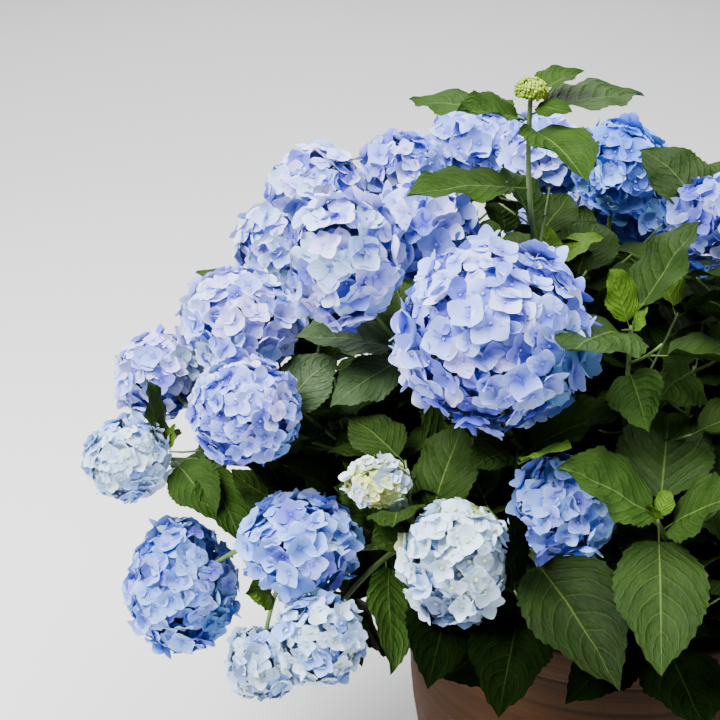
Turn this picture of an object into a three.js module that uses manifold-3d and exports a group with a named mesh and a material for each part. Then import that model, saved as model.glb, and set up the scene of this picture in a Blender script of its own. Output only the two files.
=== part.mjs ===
// A mophead hydrangea shrub in a round ceramic pot.
//
// Canes rise from the soil in the middle of the pot, lean outwards and end where a mass of
// foliage begins. Each mass is one stem that forks into twigs, with opposite pairs of broad
// leaves and a ball of florets, an unopened bud or a tuft of young leaves on each twig.
// Millimetres, +Z up, the origin in the middle of the pot's flat underside. The side with the
// lowest, widest blooms is towards -X, and the front is towards -Y.

import * as THREE from "three";
import { ConvexGeometry } from "three/addons/geometries/ConvexGeometry.js";
import { mergeVertices } from "three/addons/utils/BufferGeometryUtils.js";
import Module from "manifold-3d";

const wasm = await Module();
wasm.setup();
const { Manifold, Mesh } = wasm;

// The pot and its soil
const pot = {
  height: 400,
  rimRadius: 225,
  rimHeight: 40,
  rimStep: 9,
  footRadius: 165,
  wall: 15,
  floor: 22,
  belly: 22,
  rounding: 5,
  sides: 32,
};
const soilBelowRim = 38;
const soilTop = pot.height - soilBelowRim;
const touchGap = 0.3;
const sameCorner = 1e-4;

// Canes, stems and twigs
const wood = {
  caneRadius: 6.4,
  stemRadius: 4.6,
  twigRadius: 3.2,
  tipRadius: 2.3,
  flare: 1.4,
  caneSides: 5,
  twigSides: 3,
  caneSteps: 5,
  stemSteps: 2,
  twigSteps: 3,
  footSpread: 120, // radius of the patch of soil from which the canes rise
  feetPerCane: 2,
  massStart: 0.42, // share of the way to the fork where the foliage begins
  forkReach: 0.6, // share of the way out to the blooms where a stem forks
  forkDrop: 0.34, // share of the height above the soil that the fork lies below the blooms
  forkBelow: 34,
  rimClearance: 62, // an arching cane passes this far above the rim
  uprightShare: 0.22, // share of the way out within which a cane does most of its rising
  risenShare: 0.8,
  widestLean: 480, // blooms this far out take a foot at the edge of the patch
  forkSink: 4, // a twig starts this far inside its stem
  twigSwing: 0.45, // share of a twig's length on which it keeps its stem's heading
  twigStraight: 0.35,
};

// Leaves, in opposite pairs, each pair turned by a quarter from the last
const leaf = {
  pairs: [
    { below: 12, length: 104, angle: 62 },
    { below: 48, length: 132, angle: 68 },
    { below: 98, length: 150, angle: 74 },
    { below: 156, length: 158, angle: 78 },
    { below: 220, length: 160, angle: 80 },
  ],
  youngPairs: [
    { below: 7, length: 66, angle: 34 },
    { below: 20, length: 112, angle: 58 },
    { below: 58, length: 142, angle: 70 },
    { below: 112, length: 155, angle: 76 },
    { below: 172, length: 160, angle: 80 },
  ],
  widthShare: 0.58,
  widest: 0.46, // share of the length at which a leaf is widest
  stalkShare: 0.25,
  thickShare: 0.024,
  droop: 0.2,
  fold: 0.1,
  lowest: -0.55, // the steepest that a leaf may set off downwards
  lengthSpread: 0.14,
  droopSpread: 0.4,
  turnSpread: 22,
  rollSpread: 18,
  underBloom: 0.42, // share of a bloom's height that the first pair lies below its middle
  clearOfFork: 0.04,
  nearlyUpright: 0.95,
  roomAlong: 1.02,
  roomAcross: 1.05,
  belowBloom: 10, // how far a twig's leaves may hang below its bloom
  pastBloom: 10, // how far out past it they may reach
  overRim: 30, // how far below the rim the other leaves may hang
};
const stemLeaves = { first: 12, spacing: 40, longest: 300, length: 150, angle: 76 };
const seeds = { blooms: 100, leaves: 500, times: 1664525, plus: 1013904223, cycle: 4294967296 };

// The side that people look at stays open: no leaf of the rule hangs between this place in front
// of the pot and the middle of a bloom, of a leaf that stands out, or the pot.
const front = {
  eye: new THREE.Vector3(-277, -1440, 1292),
  bloomShare: 0.8, // share of a bloom's radius that stays in sight
  leafShare: 0.24, // and the same about a leaf, as a share of its length
  leafMiddle: 0.55,
};

// Blooms: one floret stands for each patch of this width on the ball
const bloom = {
  floretSpacing: 40,
  pit: 0.13,
  jitter: 0.04,
  fewest: 12,
  most: 40,
};
const bud = { across: 33, tall: 26 };

// Where each cane's blooms are: bearing in degrees from +X towards +Y, reach from the pot's
// axis, height above the ground, and the bloom's width and height. Near its tip a twig grows no
// leaves by the rule on the length named by covered.
const bloomAt = (bearing, reach, height, across, tall, covered = 0) => ({
  bearing,
  reach,
  height,
  across,
  tall,
  covered,
});
const budAt = (bearing, reach, height, covered = 0) => ({
  ...bloomAt(bearing, reach, height, bud.across, bud.tall, covered),
  bud: true,
});
const leafyAt = (bearing, reach, height, covered = 0) => ({ bearing, reach, height, covered, leafy: true });

// A leaf that stands out: the tip whose twig bears it, the share of the way along that twig,
// its bearing and rise in degrees, its length, and its roll about its own middle in degrees
const leafOn = (tip, at, bearing, rise, length, roll = 0) => ({ tip, at, bearing, rise, length, roll });

const canes = [
  {
    name: "front_top",
    tips: [bloomAt(225, 213, 717, 200, 196)],
    leaves: [leafOn(0, 0.1, 233, 22, 100, -20)],
  },
  {
    name: "left_top",
    tips: [bloomAt(192, 298, 759, 116, 144), bloomAt(172, 212, 753, 118, 112)],
    leaves: [leafOn(0, 0.35, 211, -9, 98, -20), leafOn(0, 0.38, 190, 24, 128, -12)],
  },
  {
    name: "left_back",
    tips: [bloomAt(147, 391, 738, 122, 104), bloomAt(153, 419, 673, 106, 120)],
    leaves: [leafOn(1, 0.29, 210, -1, 86, -35)],
  },
  {
    name: "left_middle",
    tips: [bloomAt(178, 405, 660, 140, 118), bloomAt(193, 403, 606, 122, 112), leafyAt(158, 378, 565)],
    leaves: [leafOn(1, 0.8, 22, 47, 115, 30)],
  },
  {
    name: "far_left",
    tips: [bloomAt(164, 534, 532, 106, 106, 110), bloomAt(178, 534, 492, 102, 98, 110)],
    leaves: [
      leafOn(1, 0.75, 306, -7, 94, 20),
      leafOn(1, 0.57, 298, -16, 114, -10),
      leafOn(1, 0.8, 119, 67, 112, 54),
      leafOn(1, 0.8, 52, 64, 50, -20),
    ],
  },
  {
    name: "low_left",
    tips: [bloomAt(182, 478, 347, 136, 172, 170), bloomAt(193, 395, 296, 86, 86, 170)],
    leaves: [leafOn(1, 0.67, 240, 43, 78, -65)],
  },
  {
    name: "low_front",
    tips: [bloomAt(201, 362, 474, 134, 104, 90), bloomAt(212, 376, 406, 100, 96, 150)],
    leaves: [leafOn(1, 0.23, 273, -20, 116, -35)],
  },
  {
    name: "front",
    tips: [bloomAt(232, 306, 523, 108, 134), bloomAt(213, 309, 568, 70, 46)],
    leaves: [leafOn(0, 0.6, 252, -25, 115, -10)],
  },
  {
    name: "right_front",
    tips: [bloomAt(247, 207, 552, 108, 110), leafyAt(241, 242, 516, 60)],
    leaves: [leafOn(1, 0.97, 295, -6, 165, 15)],
  },
  {
    name: "tall",
    tips: [budAt(207, 131, 927, 170)],
    leaves: [
      leafOn(0, 0.97, 31, 26, 70),
      leafOn(0, 0.94, 317, 14, 51, 25),
      leafOn(0, 0.91, 24, 13, 133, 5),
      leafOn(0, 0.9, 147, 8, 135),
      leafOn(0, 0.87, 214, 27, 98, -17),
      leafOn(0, 0.85, 289, 7, 125, -3),
      leafOn(0, 0.61, 203, 15, 136, -5),
      leafOn(0, 0.39, 102, 31, 124, 35),
      leafOn(0, 0.2, 13, 37, 80),
      leafOn(0, 0.2, 68, 69, 60),
      leafOn(0, 0.2, 29, -37, 100, 40),
    ],
  },
  {
    name: "back_left",
    tips: [bloomAt(128, 366, 740, 104, 96), bloomAt(112, 360, 753, 124, 104)],
  },
  {
    name: "back",
    tips: [
      bloomAt(105, 238, 776, 112, 96),
      bloomAt(86, 172, 779, 110, 112),
      bloomAt(78, 297, 680, 104, 84),
    ],
  },
  {
    name: "right_top",
    tips: [bloomAt(0, 80, 777, 98, 94), bloomAt(14, 212, 742, 118, 104)],
    leaves: [leafOn(0, 0.99, 149, 48, 124, -30), leafOn(0, 0.1, 229, 9, 120, 8)],
  },
  {
    name: "front_leafy",
    tips: [leafyAt(270, 235, 565, 90), budAt(298, 192, 426)],
    leaves: [
      leafOn(0, 0.93, 194, 46, 150, -25),
      leafOn(0, 0.89, 305, 50, 130, 38),
      leafOn(0, 0.97, 77, 35, 155),
      leafOn(0, 0.97, 263, -15, 150),
      leafOn(0, 0.99, 40, 66, 40),
      leafOn(0, 0.99, 220, 66, 34),
    ],
  },
  {
    name: "top_leafy",
    tips: [leafyAt(262, 131, 717, 70)],
    leaves: [
      leafOn(0, 0.96, 35, 58, 150, -20),
      leafOn(0, 0.98, 237, 22, 162, -10),
      leafOn(0, 0.97, 160, 71, 80, -28),
      leafOn(0, 0.95, 322, 70, 50, 45),
      leafOn(0, 0.75, 274, -4, 92, 25),
    ],
  },
  {
    name: "right_leafy",
    tips: [leafyAt(311, 92, 646, 40)],
    leaves: [leafOn(0, 0.96, 240, 19, 112, -45), leafOn(0, 0.93, 111, 37, 102)],
  },
  {
    name: "low_leafy",
    tips: [leafyAt(241, 257, 465), leafyAt(272, 262, 454)],
    leaves: [
      leafOn(0, 0.97, 256, -5, 130),
      leafOn(1, 0.96, 279, 4, 130),
      leafOn(1, 0.9, 217, -7, 110, -20),
      leafOn(0, 0.6, 196, -22, 130, -50),
    ],
  },
  { name: "back_leafy", tips: [leafyAt(50, 250, 700)] },
  { name: "side_leafy", tips: [leafyAt(325, 250, 600)] },
];

// The sides that the front hides carry on with the same habit: a low bloom that hangs out past
// the rim, and a higher one inside it, on each cane.
const farSides = {
  names: ["right_low", "right_middle", "right_far", "right_back", "far_back", "back_low"],
  firstBearing: -62,
  step: 36,
  outer: { reach: 430, height: 430, across: 116, tall: 112 },
  inner: { turn: 15, reach: 310, height: 610, across: 124, tall: 110 },
  reachSpread: 36,
  heightSpread: 50,
  sizeSpread: 14,
  seed: 7,
};

const materials = {
  pot: new THREE.MeshStandardMaterial({ color: 0x8a6247, roughness: 0.7, metalness: 0 }),
  soil: new THREE.MeshStandardMaterial({ color: 0x3b2a1e, roughness: 0.95, metalness: 0 }),
  cane: new THREE.MeshStandardMaterial({ color: 0x6d6a3c, roughness: 0.75, metalness: 0 }),
  foliage: new THREE.MeshStandardMaterial({ color: 0x4a6e3f, roughness: 0.55, metalness: 0 }),
};

const up = new THREE.Vector3(0, 0, 1);
const degrees = THREE.MathUtils.degToRad;
const lerp = THREE.MathUtils.lerp;

// A small seeded generator, so that the same shrub grows each time.
function seeded(seed) {
  let state = seed >>> 0;
  return () => {
    state = (Math.imul(state, seeds.times) + seeds.plus) >>> 0;
    return state / seeds.cycle;
  };
}

const spread = (random, amount) => (2 * random() - 1) * amount;

function withSharedCorners(geometry) {
  const bare = geometry.clone();
  bare.deleteAttribute("normal");
  bare.deleteAttribute("uv");
  return mergeVertices(bare, sameCorner);
}

function solidFrom(geometry) {
  const { attributes, index } = withSharedCorners(geometry);
  return new Manifold(
    new Mesh({
      numProp: 3,
      vertProperties: new Float32Array(attributes.position.array),
      triVerts: new Uint32Array(index.array),
    }),
  );
}

function geometryFrom(solid) {
  const { numVert, numProp, vertProperties, triVerts } = solid.getMesh();
  const places = new Float32Array(numVert * 3);
  for (let i = 0; i < numVert; i++) {
    places.set(vertProperties.subarray(i * numProp, i * numProp + 3), i * 3);
  }
  return new THREE.BufferGeometry()
    .setAttribute("position", new THREE.BufferAttribute(places, 3))
    .setIndex(new THREE.BufferAttribute(new Uint32Array(triVerts), 1));
}

function meshFrom(points, faces) {
  return new THREE.BufferGeometry()
    .setAttribute("position", new THREE.Float32BufferAttribute(points.flatMap((p) => p.toArray()), 3))
    .setIndex(faces.flat());
}

// A lathe turns about Y, and the pot stands on Z.
function turned(profile) {
  const points = profile.map(([radius, height]) => new THREE.Vector2(radius, height));
  return new THREE.LatheGeometry(points, pot.sides).rotateX(Math.PI / 2);
}

// The pot's outer radius at a height below the rim: a straight taper with a slight belly.
function bodyRadius(height) {
  const share = height / (pot.height - pot.rimHeight);
  const straight = lerp(pot.footRadius, pot.rimRadius - pot.rimStep, share);
  return straight + pot.belly * Math.sin(Math.PI * share);
}

const innerRadius = (height) => bodyRadius(Math.min(height, pot.height - pot.rimHeight)) - pot.wall;

function makePot() {
  const underRim = pot.height - pot.rimHeight;
  const bodyHeights = [0.03, 0.25, 0.5, 0.75, 0.97].map((share) => share * underRim);
  return turned([
    [0, 0],
    [pot.footRadius - pot.rounding, 0],
    ...bodyHeights.map((height) => [bodyRadius(height), height]),
    [pot.rimRadius - pot.rimStep, underRim],
    [pot.rimRadius, underRim + pot.rounding],
    [pot.rimRadius, pot.height - pot.rounding],
    [pot.rimRadius - pot.rounding, pot.height],
    [innerRadius(pot.height) + pot.rounding, pot.height],
    [innerRadius(pot.height), pot.height - pot.rounding],
    ...[0.97, 0.5].map((share) => [innerRadius(share * underRim), share * underRim]),
    [innerRadius(pot.floor), pot.floor],
    [0, pot.floor],
  ]);
}

function makeSoil() {
  const underRim = pot.height - pot.rimHeight;
  const bottom = pot.floor + touchGap;
  const heights = [bottom, 0.5 * underRim, soilTop];
  const shell = heights.map((height) => [innerRadius(height) - 2 * touchGap, height]);
  return turned([[0, bottom], ...shell, [0, soilTop]]);
}

// A tapering limb along a curve. Its first ring may be set level, for a flat cut.
function makeLimb(curve, { from = 0, to = 1, levelStart = false, flare = 1, ...limb }) {
  const { startRadius, endRadius, sides, steps } = limb;
  const points = [];
  const faces = [];
  let side = new THREE.Vector3(0, 1, 0);
  for (let i = 0; i <= steps; i++) {
    const share = i / steps;
    const at = curve.getPoint(lerp(from, to, share));
    const along = levelStart && i === 0 ? up.clone() : curve.getTangent(lerp(from, to, share));
    side = side.addScaledVector(along, -side.dot(along)).normalize();
    const other = along.clone().cross(side);
    const radius = lerp(startRadius, endRadius, share) * (i === 0 ? flare : 1);
    for (let k = 0; k < sides; k++) {
      const turn = (2 * Math.PI * k) / sides;
      const point = at.clone().addScaledVector(side, radius * Math.cos(turn));
      points.push(point.addScaledVector(other, radius * Math.sin(turn)));
    }
  }
  const ring = (i, k) => i * sides + (k % sides);
  for (let i = 0; i < steps; i++) {
    for (let k = 0; k < sides; k++) {
      faces.push([ring(i, k), ring(i, k + 1), ring(i + 1, k + 1)]);
      faces.push([ring(i, k), ring(i + 1, k + 1), ring(i + 1, k)]);
    }
  }
  for (let k = 1; k < sides - 1; k++) {
    faces.push([ring(0, 0), ring(0, k + 1), ring(0, k)]);
    faces.push([ring(steps, 0), ring(steps, k), ring(steps, k + 1)]);
  }
  return meshFrom(points, faces);
}

// Points spread evenly over a unit ball, in a spiral from pole to pole.
function spiralPoints(count) {
  const golden = Math.PI * (3 - Math.sqrt(5));
  return Array.from({ length: count }, (_, i) => {
    const height = 1 - (2 * (i + 0.5)) / count;
    const radius = Math.sqrt(1 - height * height);
    return new THREE.Vector3(radius * Math.cos(golden * i), radius * Math.sin(golden * i), height);
  });
}

// A ball of florets: each floret's middle stands out, and the pits between them lie deeper.
function makeBall(tip, random) {
  const wanted = Math.round(Math.PI * (tip.across / bloom.floretSpacing) ** 2);
  const count = THREE.MathUtils.clamp(wanted, bloom.fewest, bloom.most);
  const hull = withSharedCorners(new ConvexGeometry(spiralPoints(count)));
  const corner = hull.attributes.position;
  const points = Array.from({ length: corner.count }, (_, i) =>
    new THREE.Vector3().fromBufferAttribute(corner, i).multiplyScalar(1 + spread(random, bloom.jitter)),
  );
  const faces = [];
  for (let i = 0; i < hull.index.count; i += 3) {
    const [a, b, c] = [0, 1, 2].map((k) => hull.index.getX(i + k));
    const pit = points[a].clone().add(points[b]).add(points[c]).normalize().multiplyScalar(1 - bloom.pit);
    points.push(pit);
    const p = points.length - 1;
    faces.push([a, b, p], [b, c, p], [c, a, p]);
  }
  const ball = meshFrom(points, faces);
  return ball.scale(tip.across / 2, tip.across / 2, tip.tall / 2).translate(tip.at.x, tip.at.y, tip.at.z);
}

// A place on a leaf, at shares of its length and width. The leaf's root lies on the twig's
// centre line, and its droop grows towards its tip.
function onLeaf({ root, way, length, width, fold, droop, roll }, along, across, above = 0) {
  const level = up.clone().addScaledVector(way, -up.dot(way)).normalize();
  const face = level.applyAxisAngle(way, roll);
  const aside = face.clone().cross(way).normalize();
  return root
    .clone()
    .addScaledVector(way, along * length)
    .addScaledVector(aside, across * width)
    .addScaledVector(face, above + fold * width * Math.abs(across) * 2)
    .addScaledVector(up, -droop * length * along * along);
}

// A broad leaf with a pointed tip, a ridge along its middle and sharp edges
function makeLeaf(spec) {
  const thick = leaf.thickShare * spec.length;
  const corners = [
    [0, 0],
    [leaf.widest, -0.5],
    [1, 0],
    [leaf.widest, 0.5],
  ];
  const rim = corners.map(([along, across]) => onLeaf(spec, along, across));
  const ridges = [thick / 2, -thick / 2].map((above) => onLeaf(spec, leaf.widest, 0, above));
  const [top, underside] = [rim.length, rim.length + 1];
  const faces = rim.flatMap((_, i) => {
    const next = (i + 1) % rim.length;
    return [
      [i, next, top],
      [next, i, underside],
    ];
  });
  return meshFrom([...rim, ...ridges], faces);
}

const placeOf = ({ bearing, reach, height }) =>
  new THREE.Vector3(reach * Math.cos(degrees(bearing)), reach * Math.sin(degrees(bearing)), height);

// The canes of the sides that face away
function farCanes() {
  const random = seeded(farSides.seed);
  const near = (value, amount) => Math.round(value + spread(random, amount));
  return farSides.names.map((name, i) => {
    const bearing = farSides.firstBearing + i * farSides.step;
    const tips = [farSides.outer, farSides.inner].map((kind) =>
      bloomAt(
        bearing + (kind.turn ?? 0),
        near(kind.reach, farSides.reachSpread),
        near(kind.height, farSides.heightSpread),
        near(kind.across, farSides.sizeSpread),
        near(kind.tall, farSides.sizeSpread),
      ),
    );
    return { name, tips };
  });
}

// The feet of the canes lie in a spiral on the soil, and each cane takes the free foot that is
// nearest to the way it leans, the widest canes first.
function plantFeet(all) {
  const golden = 180 * (3 - Math.sqrt(5));
  const count = wood.feetPerCane * all.length;
  const free = Array.from({ length: count }, (_, i) => {
    const reach = wood.footSpread * Math.sqrt((i + 0.5) / count);
    return placeOf({ bearing: golden * i, reach, height: soilTop + touchGap });
  });
  const widest = [...all].sort((a, b) => b.middle.length() - a.middle.length());
  for (const cane of widest) {
    const wish = cane.middle.clone().setZ(0).multiplyScalar(wood.footSpread / wood.widestLean);
    const flat = (foot) => Math.hypot(foot.x - wish.x, foot.y - wish.y);
    free.sort((a, b) => flat(a) - flat(b));
    cane.foot = free.shift();
  }
}

// A cane's curve to its fork, and a twig's curve from the fork to each tip
function shapeCane(cane) {
  const { foot, middle } = cane;
  const rise = middle.z - soilTop;
  const fork = foot.clone().lerp(middle, wood.forkReach);
  fork.z = Math.max(middle.z - wood.forkDrop * rise - wood.forkBelow, pot.height + wood.rimClearance);
  const bend = foot.clone().lerp(fork, wood.uprightShare);
  bend.z = lerp(soilTop, fork.z, wood.risenShare);
  if (rise < 2 * wood.rimClearance) bend.z += wood.rimClearance / 2;
  cane.curve = new THREE.QuadraticBezierCurve3(foot, bend, fork);
  const heading = cane.curve.getTangent(1);
  for (const tip of cane.tips) {
    const away = tip.at.distanceTo(fork);
    const start = fork.clone().addScaledVector(heading, -wood.forkSink);
    const turn = fork.clone().addScaledVector(heading, wood.twigSwing * away);
    turn.lerp(fork.clone().lerp(tip.at, 0.5), wood.twigStraight);
    tip.curve = new THREE.QuadraticBezierCurve3(start, turn, tip.at);
  }
}

function makeCane(cane) {
  return makeLimb(cane.curve, {
    to: wood.massStart,
    startRadius: wood.caneRadius,
    endRadius: wood.stemRadius,
    sides: wood.caneSides,
    steps: wood.caneSteps,
    levelStart: true,
    flare: wood.flare,
  });
}

// The stem of a mass starts clear of its cane's end.
function makeStem(cane) {
  const gapShare = touchGap / cane.curve.getLength();
  return makeLimb(cane.curve, {
    from: wood.massStart + gapShare,
    startRadius: wood.stemRadius,
    endRadius: wood.twigRadius,
    sides: wood.caneSides,
    steps: wood.stemSteps,
  });
}

function makeTwig(tip) {
  return makeLimb(tip.curve, {
    startRadius: wood.twigRadius,
    endRadius: wood.tipRadius,
    sides: wood.twigSides,
    steps: wood.twigSteps,
  });
}

// A point on the straight runs that a limb is made of
function limbPoint(curve, { from = 0, steps }, at) {
  const place = ((at - from) / (1 - from)) * steps;
  const step = Math.min(steps - 1, Math.floor(place));
  const [start, end] = [step, step + 1].map((i) => curve.getPoint(lerp(from, 1, i / steps)));
  return start.lerp(end, place - step);
}

// Every pair of leaves that a limb could bear, from its tip down
function pairsOn(curve, run, pairs, random) {
  const length = curve.getLength();
  const firstTurn = 360 * random();
  return pairs
    .map((pair, k) => ({ ...pair, turn: firstTurn + 90 * k, at: 1 - pair.below / length }))
    .filter((pair) => pair.at > (run.from ?? 0) + leaf.clearOfFork)
    .map((pair) => leavesOfPair(curve, run, pair, random));
}

function leavesOfPair(curve, run, pair, random) {
  const root = limbPoint(curve, run, pair.at);
  const along = curve.getTangent(pair.at);
  const level = Math.abs(along.z) > leaf.nearlyUpright ? new THREE.Vector3(1, 0, 0) : up.clone();
  const side = level.cross(along).normalize();
  return [0, 180].map((half) => {
    const turn = degrees(pair.turn + half + spread(random, leaf.turnSpread));
    const out = side.clone().applyAxisAngle(along, turn);
    const angle = degrees(pair.angle);
    const way = along.clone().multiplyScalar(Math.cos(angle)).addScaledVector(out, Math.sin(angle));
    way.z = Math.max(way.z, leaf.lowest);
    way.normalize();
    const length = pair.length * (1 + spread(random, leaf.lengthSpread));
    return {
      root,
      way,
      length,
      width: leaf.widthShare * length,
      fold: leaf.fold,
      droop: leaf.droop * (1 + spread(random, leaf.droopSpread)),
      roll: degrees(spread(random, leaf.rollSpread)),
    };
  });
}

function stemPairs(cane, random) {
  const visible = (1 - wood.massStart) * cane.curve.getLength();
  const { first, spacing, longest, length, angle } = stemLeaves;
  const count = Math.floor(Math.min(visible, longest) / spacing);
  const pairs = Array.from({ length: count }, (_, k) => ({ below: first + k * spacing, length, angle }));
  return pairsOn(cane.curve, { from: wood.massStart, steps: wood.stemSteps }, pairs, random);
}

function leafStandingOut(cane, { tip, at, bearing, rise, length, roll }) {
  return {
    root: limbPoint(cane.tips[tip].curve, { steps: wood.twigSteps }, at),
    way: placeOf({ bearing, reach: Math.cos(degrees(rise)), height: Math.sin(degrees(rise)) }),
    length,
    width: leaf.widthShare * length,
    fold: leaf.fold,
    droop: leaf.droop,
    roll: degrees(roll),
  };
}

// How low leaves may hang and how far out they may reach: a twig's by its own bloom, a stem's by
// the rim and the widest bloom that it bears
function limitsOf(tips, ofTwig) {
  const blooms = tips.filter((tip) => !tip.leafy && !tip.bud);
  const overRim = pot.height - leaf.overRim;
  const undersides = blooms.map((tip) => tip.height - tip.tall / 2 - leaf.belowBloom);
  const outsides = blooms.map((tip) => tip.reach + tip.across / 2 + leaf.pastBloom);
  return {
    low: ofTwig ? Math.min(overRim, ...undersides) : overRim,
    far: outsides.length > 0 ? Math.max(...outsides) : Infinity,
  };
}

const withLimits = (pairs, limits) => pairs.map((pair) => pair.map((spec) => ({ ...spec, limits })));

function leavesByRule(cane, seed) {
  const random = seeded(seed);
  const found = [];
  for (const tip of cane.tips) {
    const inset = tip.leafy ? 0 : leaf.underBloom * tip.tall;
    const pairs = (tip.leafy ? leaf.youngPairs : leaf.pairs)
      .map((pair) => ({ ...pair, below: pair.below + inset }))
      .filter((pair) => pair.below > tip.covered);
    const grown = pairsOn(tip.curve, { steps: wood.twigSteps }, pairs, random);
    found.push(...withLimits(grown, limitsOf([tip], true)));
  }
  found.push(...withLimits(stemPairs(cane, random), limitsOf(cane.tips, false)));
  return found;
}

// What stays in sight from the front: the middle of each bloom that faces it, and of each leaf
// that stands out
const sights = [];

// Whether the pot lies behind, on a line of sight that runs on past a leaf
function potBehind(ray) {
  const { eye } = front;
  const flat = ray.x ** 2 + ray.y ** 2;
  const half = ray.x * eye.x + ray.y * eye.y;
  const inside = half ** 2 - flat * (eye.x ** 2 + eye.y ** 2 - pot.rimRadius ** 2);
  if (inside <= 0) return false;
  const reach = (-half - Math.sqrt(inside)) / flat;
  return reach > 1 && eye.z + ray.z * reach < pot.height;
}

function hidesFront(point) {
  const ray = point.clone().sub(front.eye);
  const inFrontOf = ({ middle, radius }) => {
    const away = middle.clone().sub(front.eye);
    const nearest = ray.clone().multiplyScalar(away.dot(ray) / ray.lengthSq());
    return ray.length() < away.length() && away.distanceTo(nearest) < radius;
  };
  return sights.some(inFrontOf) || potBehind(ray);
}

// A leaf of the rule keeps within its limits and leaves the front open.
function fits(spec) {
  const marks = [
    [leaf.widest, -0.5],
    [leaf.widest, 0.5],
    [leaf.widest, 0],
    [(leaf.widest + 1) / 2, 0],
    [1, 0],
  ];
  const points = marks.map(([along, across]) => onLeaf(spec, along, across));
  const { low, far } = spec.limits;
  return points.every((p) => p.z > low && Math.hypot(p.x, p.y) < far && !hidesFront(p));
}

// Solids that are already in place, so that what grows later keeps clear of them
const claimed = [];

function boxOf(solid) {
  const { min, max } = solid.boundingBox();
  return new THREE.Box3(new THREE.Vector3(...min), new THREE.Vector3(...max));
}

function claim(owner, solid, limb = false) {
  claimed.push({ owner, solid, limb, box: boxOf(solid) });
}

const meets = (solid, others) => {
  const box = boxOf(solid).expandByScalar(touchGap);
  return others.some((other) => other.box.intersectsBox(box) && other.solid.intersect(solid).volume() > 0);
};

// A leaf may grow where a slightly larger one clears the other masses, and where its blade
// clears the blooms and leaves of its own.
function hasRoom(owner, spec) {
  const larger = makeLeaf({
    ...spec,
    length: spec.length * leaf.roomAlong,
    width: spec.width * leaf.roomAcross,
  });
  if (meets(solidFrom(larger), claimed.filter((other) => other.owner !== owner))) return false;
  const root = spec.root.clone().addScaledVector(spec.way, leaf.stalkShare * spec.length);
  const blade = makeLeaf({ ...spec, root, length: (1 - leaf.stalkShare) * spec.length });
  return !meets(solidFrom(blade), claimed.filter((other) => other.owner === owner && !other.limb));
}

const shrub = new THREE.Group();

function addNode(name, geometry, material) {
  const mesh = new THREE.Mesh(geometry, material);
  mesh.name = name;
  shrub.add(mesh);
}

const allCanes = [...canes, ...farCanes()];
allCanes.forEach((cane) => {
  cane.tips.forEach((tip) => (tip.at = placeOf(tip)));
  cane.middle = new THREE.Vector3();
  cane.tips.forEach((tip) => cane.middle.addScaledVector(tip.at, 1 / cane.tips.length));
});
plantFeet(allCanes);
allCanes.forEach(shapeCane);

addNode("pot", makePot(), materials.pot);
addNode("soil", makeSoil(), materials.soil);
claim("pot", solidFrom(makePot()));
claim("soil", solidFrom(makeSoil()));

const masses = allCanes.map((cane, i) => {
  addNode(`${cane.name}_cane`, makeCane(cane), materials.cane);
  claim(`${cane.name}_cane`, solidFrom(makeCane(cane)), true);
  const random = seeded(seeds.blooms + i);
  const limbs = [makeStem(cane), ...cane.tips.map(makeTwig)].map(solidFrom);
  limbs.forEach((solid) => claim(cane.name, solid, true));
  const blooms = cane.tips.filter((tip) => !tip.leafy);
  const balls = blooms.map((tip) => solidFrom(makeBall(tip, random)));
  balls.forEach((solid) => claim(cane.name, solid));
  const shown = canes.includes(cane) ? blooms : [];
  sights.push(...shown.map((tip) => ({ middle: tip.at, radius: (front.bloomShare * tip.across) / 2 })));
  return { cane, solids: [...limbs, ...balls], waiting: leavesByRule(cane, seeds.leaves + i) };
});

function addLeaf({ cane, solids }, spec) {
  const solid = solidFrom(makeLeaf(spec));
  solids.push(solid);
  claim(cane.name, solid);
}

// The leaves that stand out come first.
for (const mass of masses) {
  for (const row of mass.cane.leaves ?? []) {
    const spec = leafStandingOut(mass.cane, row);
    if (!hasRoom(mass.cane.name, spec)) continue;
    addLeaf(mass, spec);
    sights.push({ middle: onLeaf(spec, front.leafMiddle, 0), radius: front.leafShare * spec.length });
  }
}

// Then each mass adds one pair of leaves in its turn, and leaves out a leaf that has no room.
for (let round = 0; masses.some(({ waiting }) => waiting.length > round); round++) {
  for (const mass of masses) {
    const open = (mass.waiting[round] ?? []).filter(fits);
    open.forEach((spec) => hasRoom(mass.cane.name, spec) && addLeaf(mass, spec));
  }
}

for (const { cane, solids } of masses) {
  addNode(`${cane.name}_foliage`, geometryFrom(Manifold.union(solids)), materials.foliage);
}

export default shrub;
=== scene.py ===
from math import cos, floor, hypot, pi, radians, sin, sqrt

import bpy
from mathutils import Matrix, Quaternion, Vector, noise
from mathutils.bvhtree import BVHTree


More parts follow.
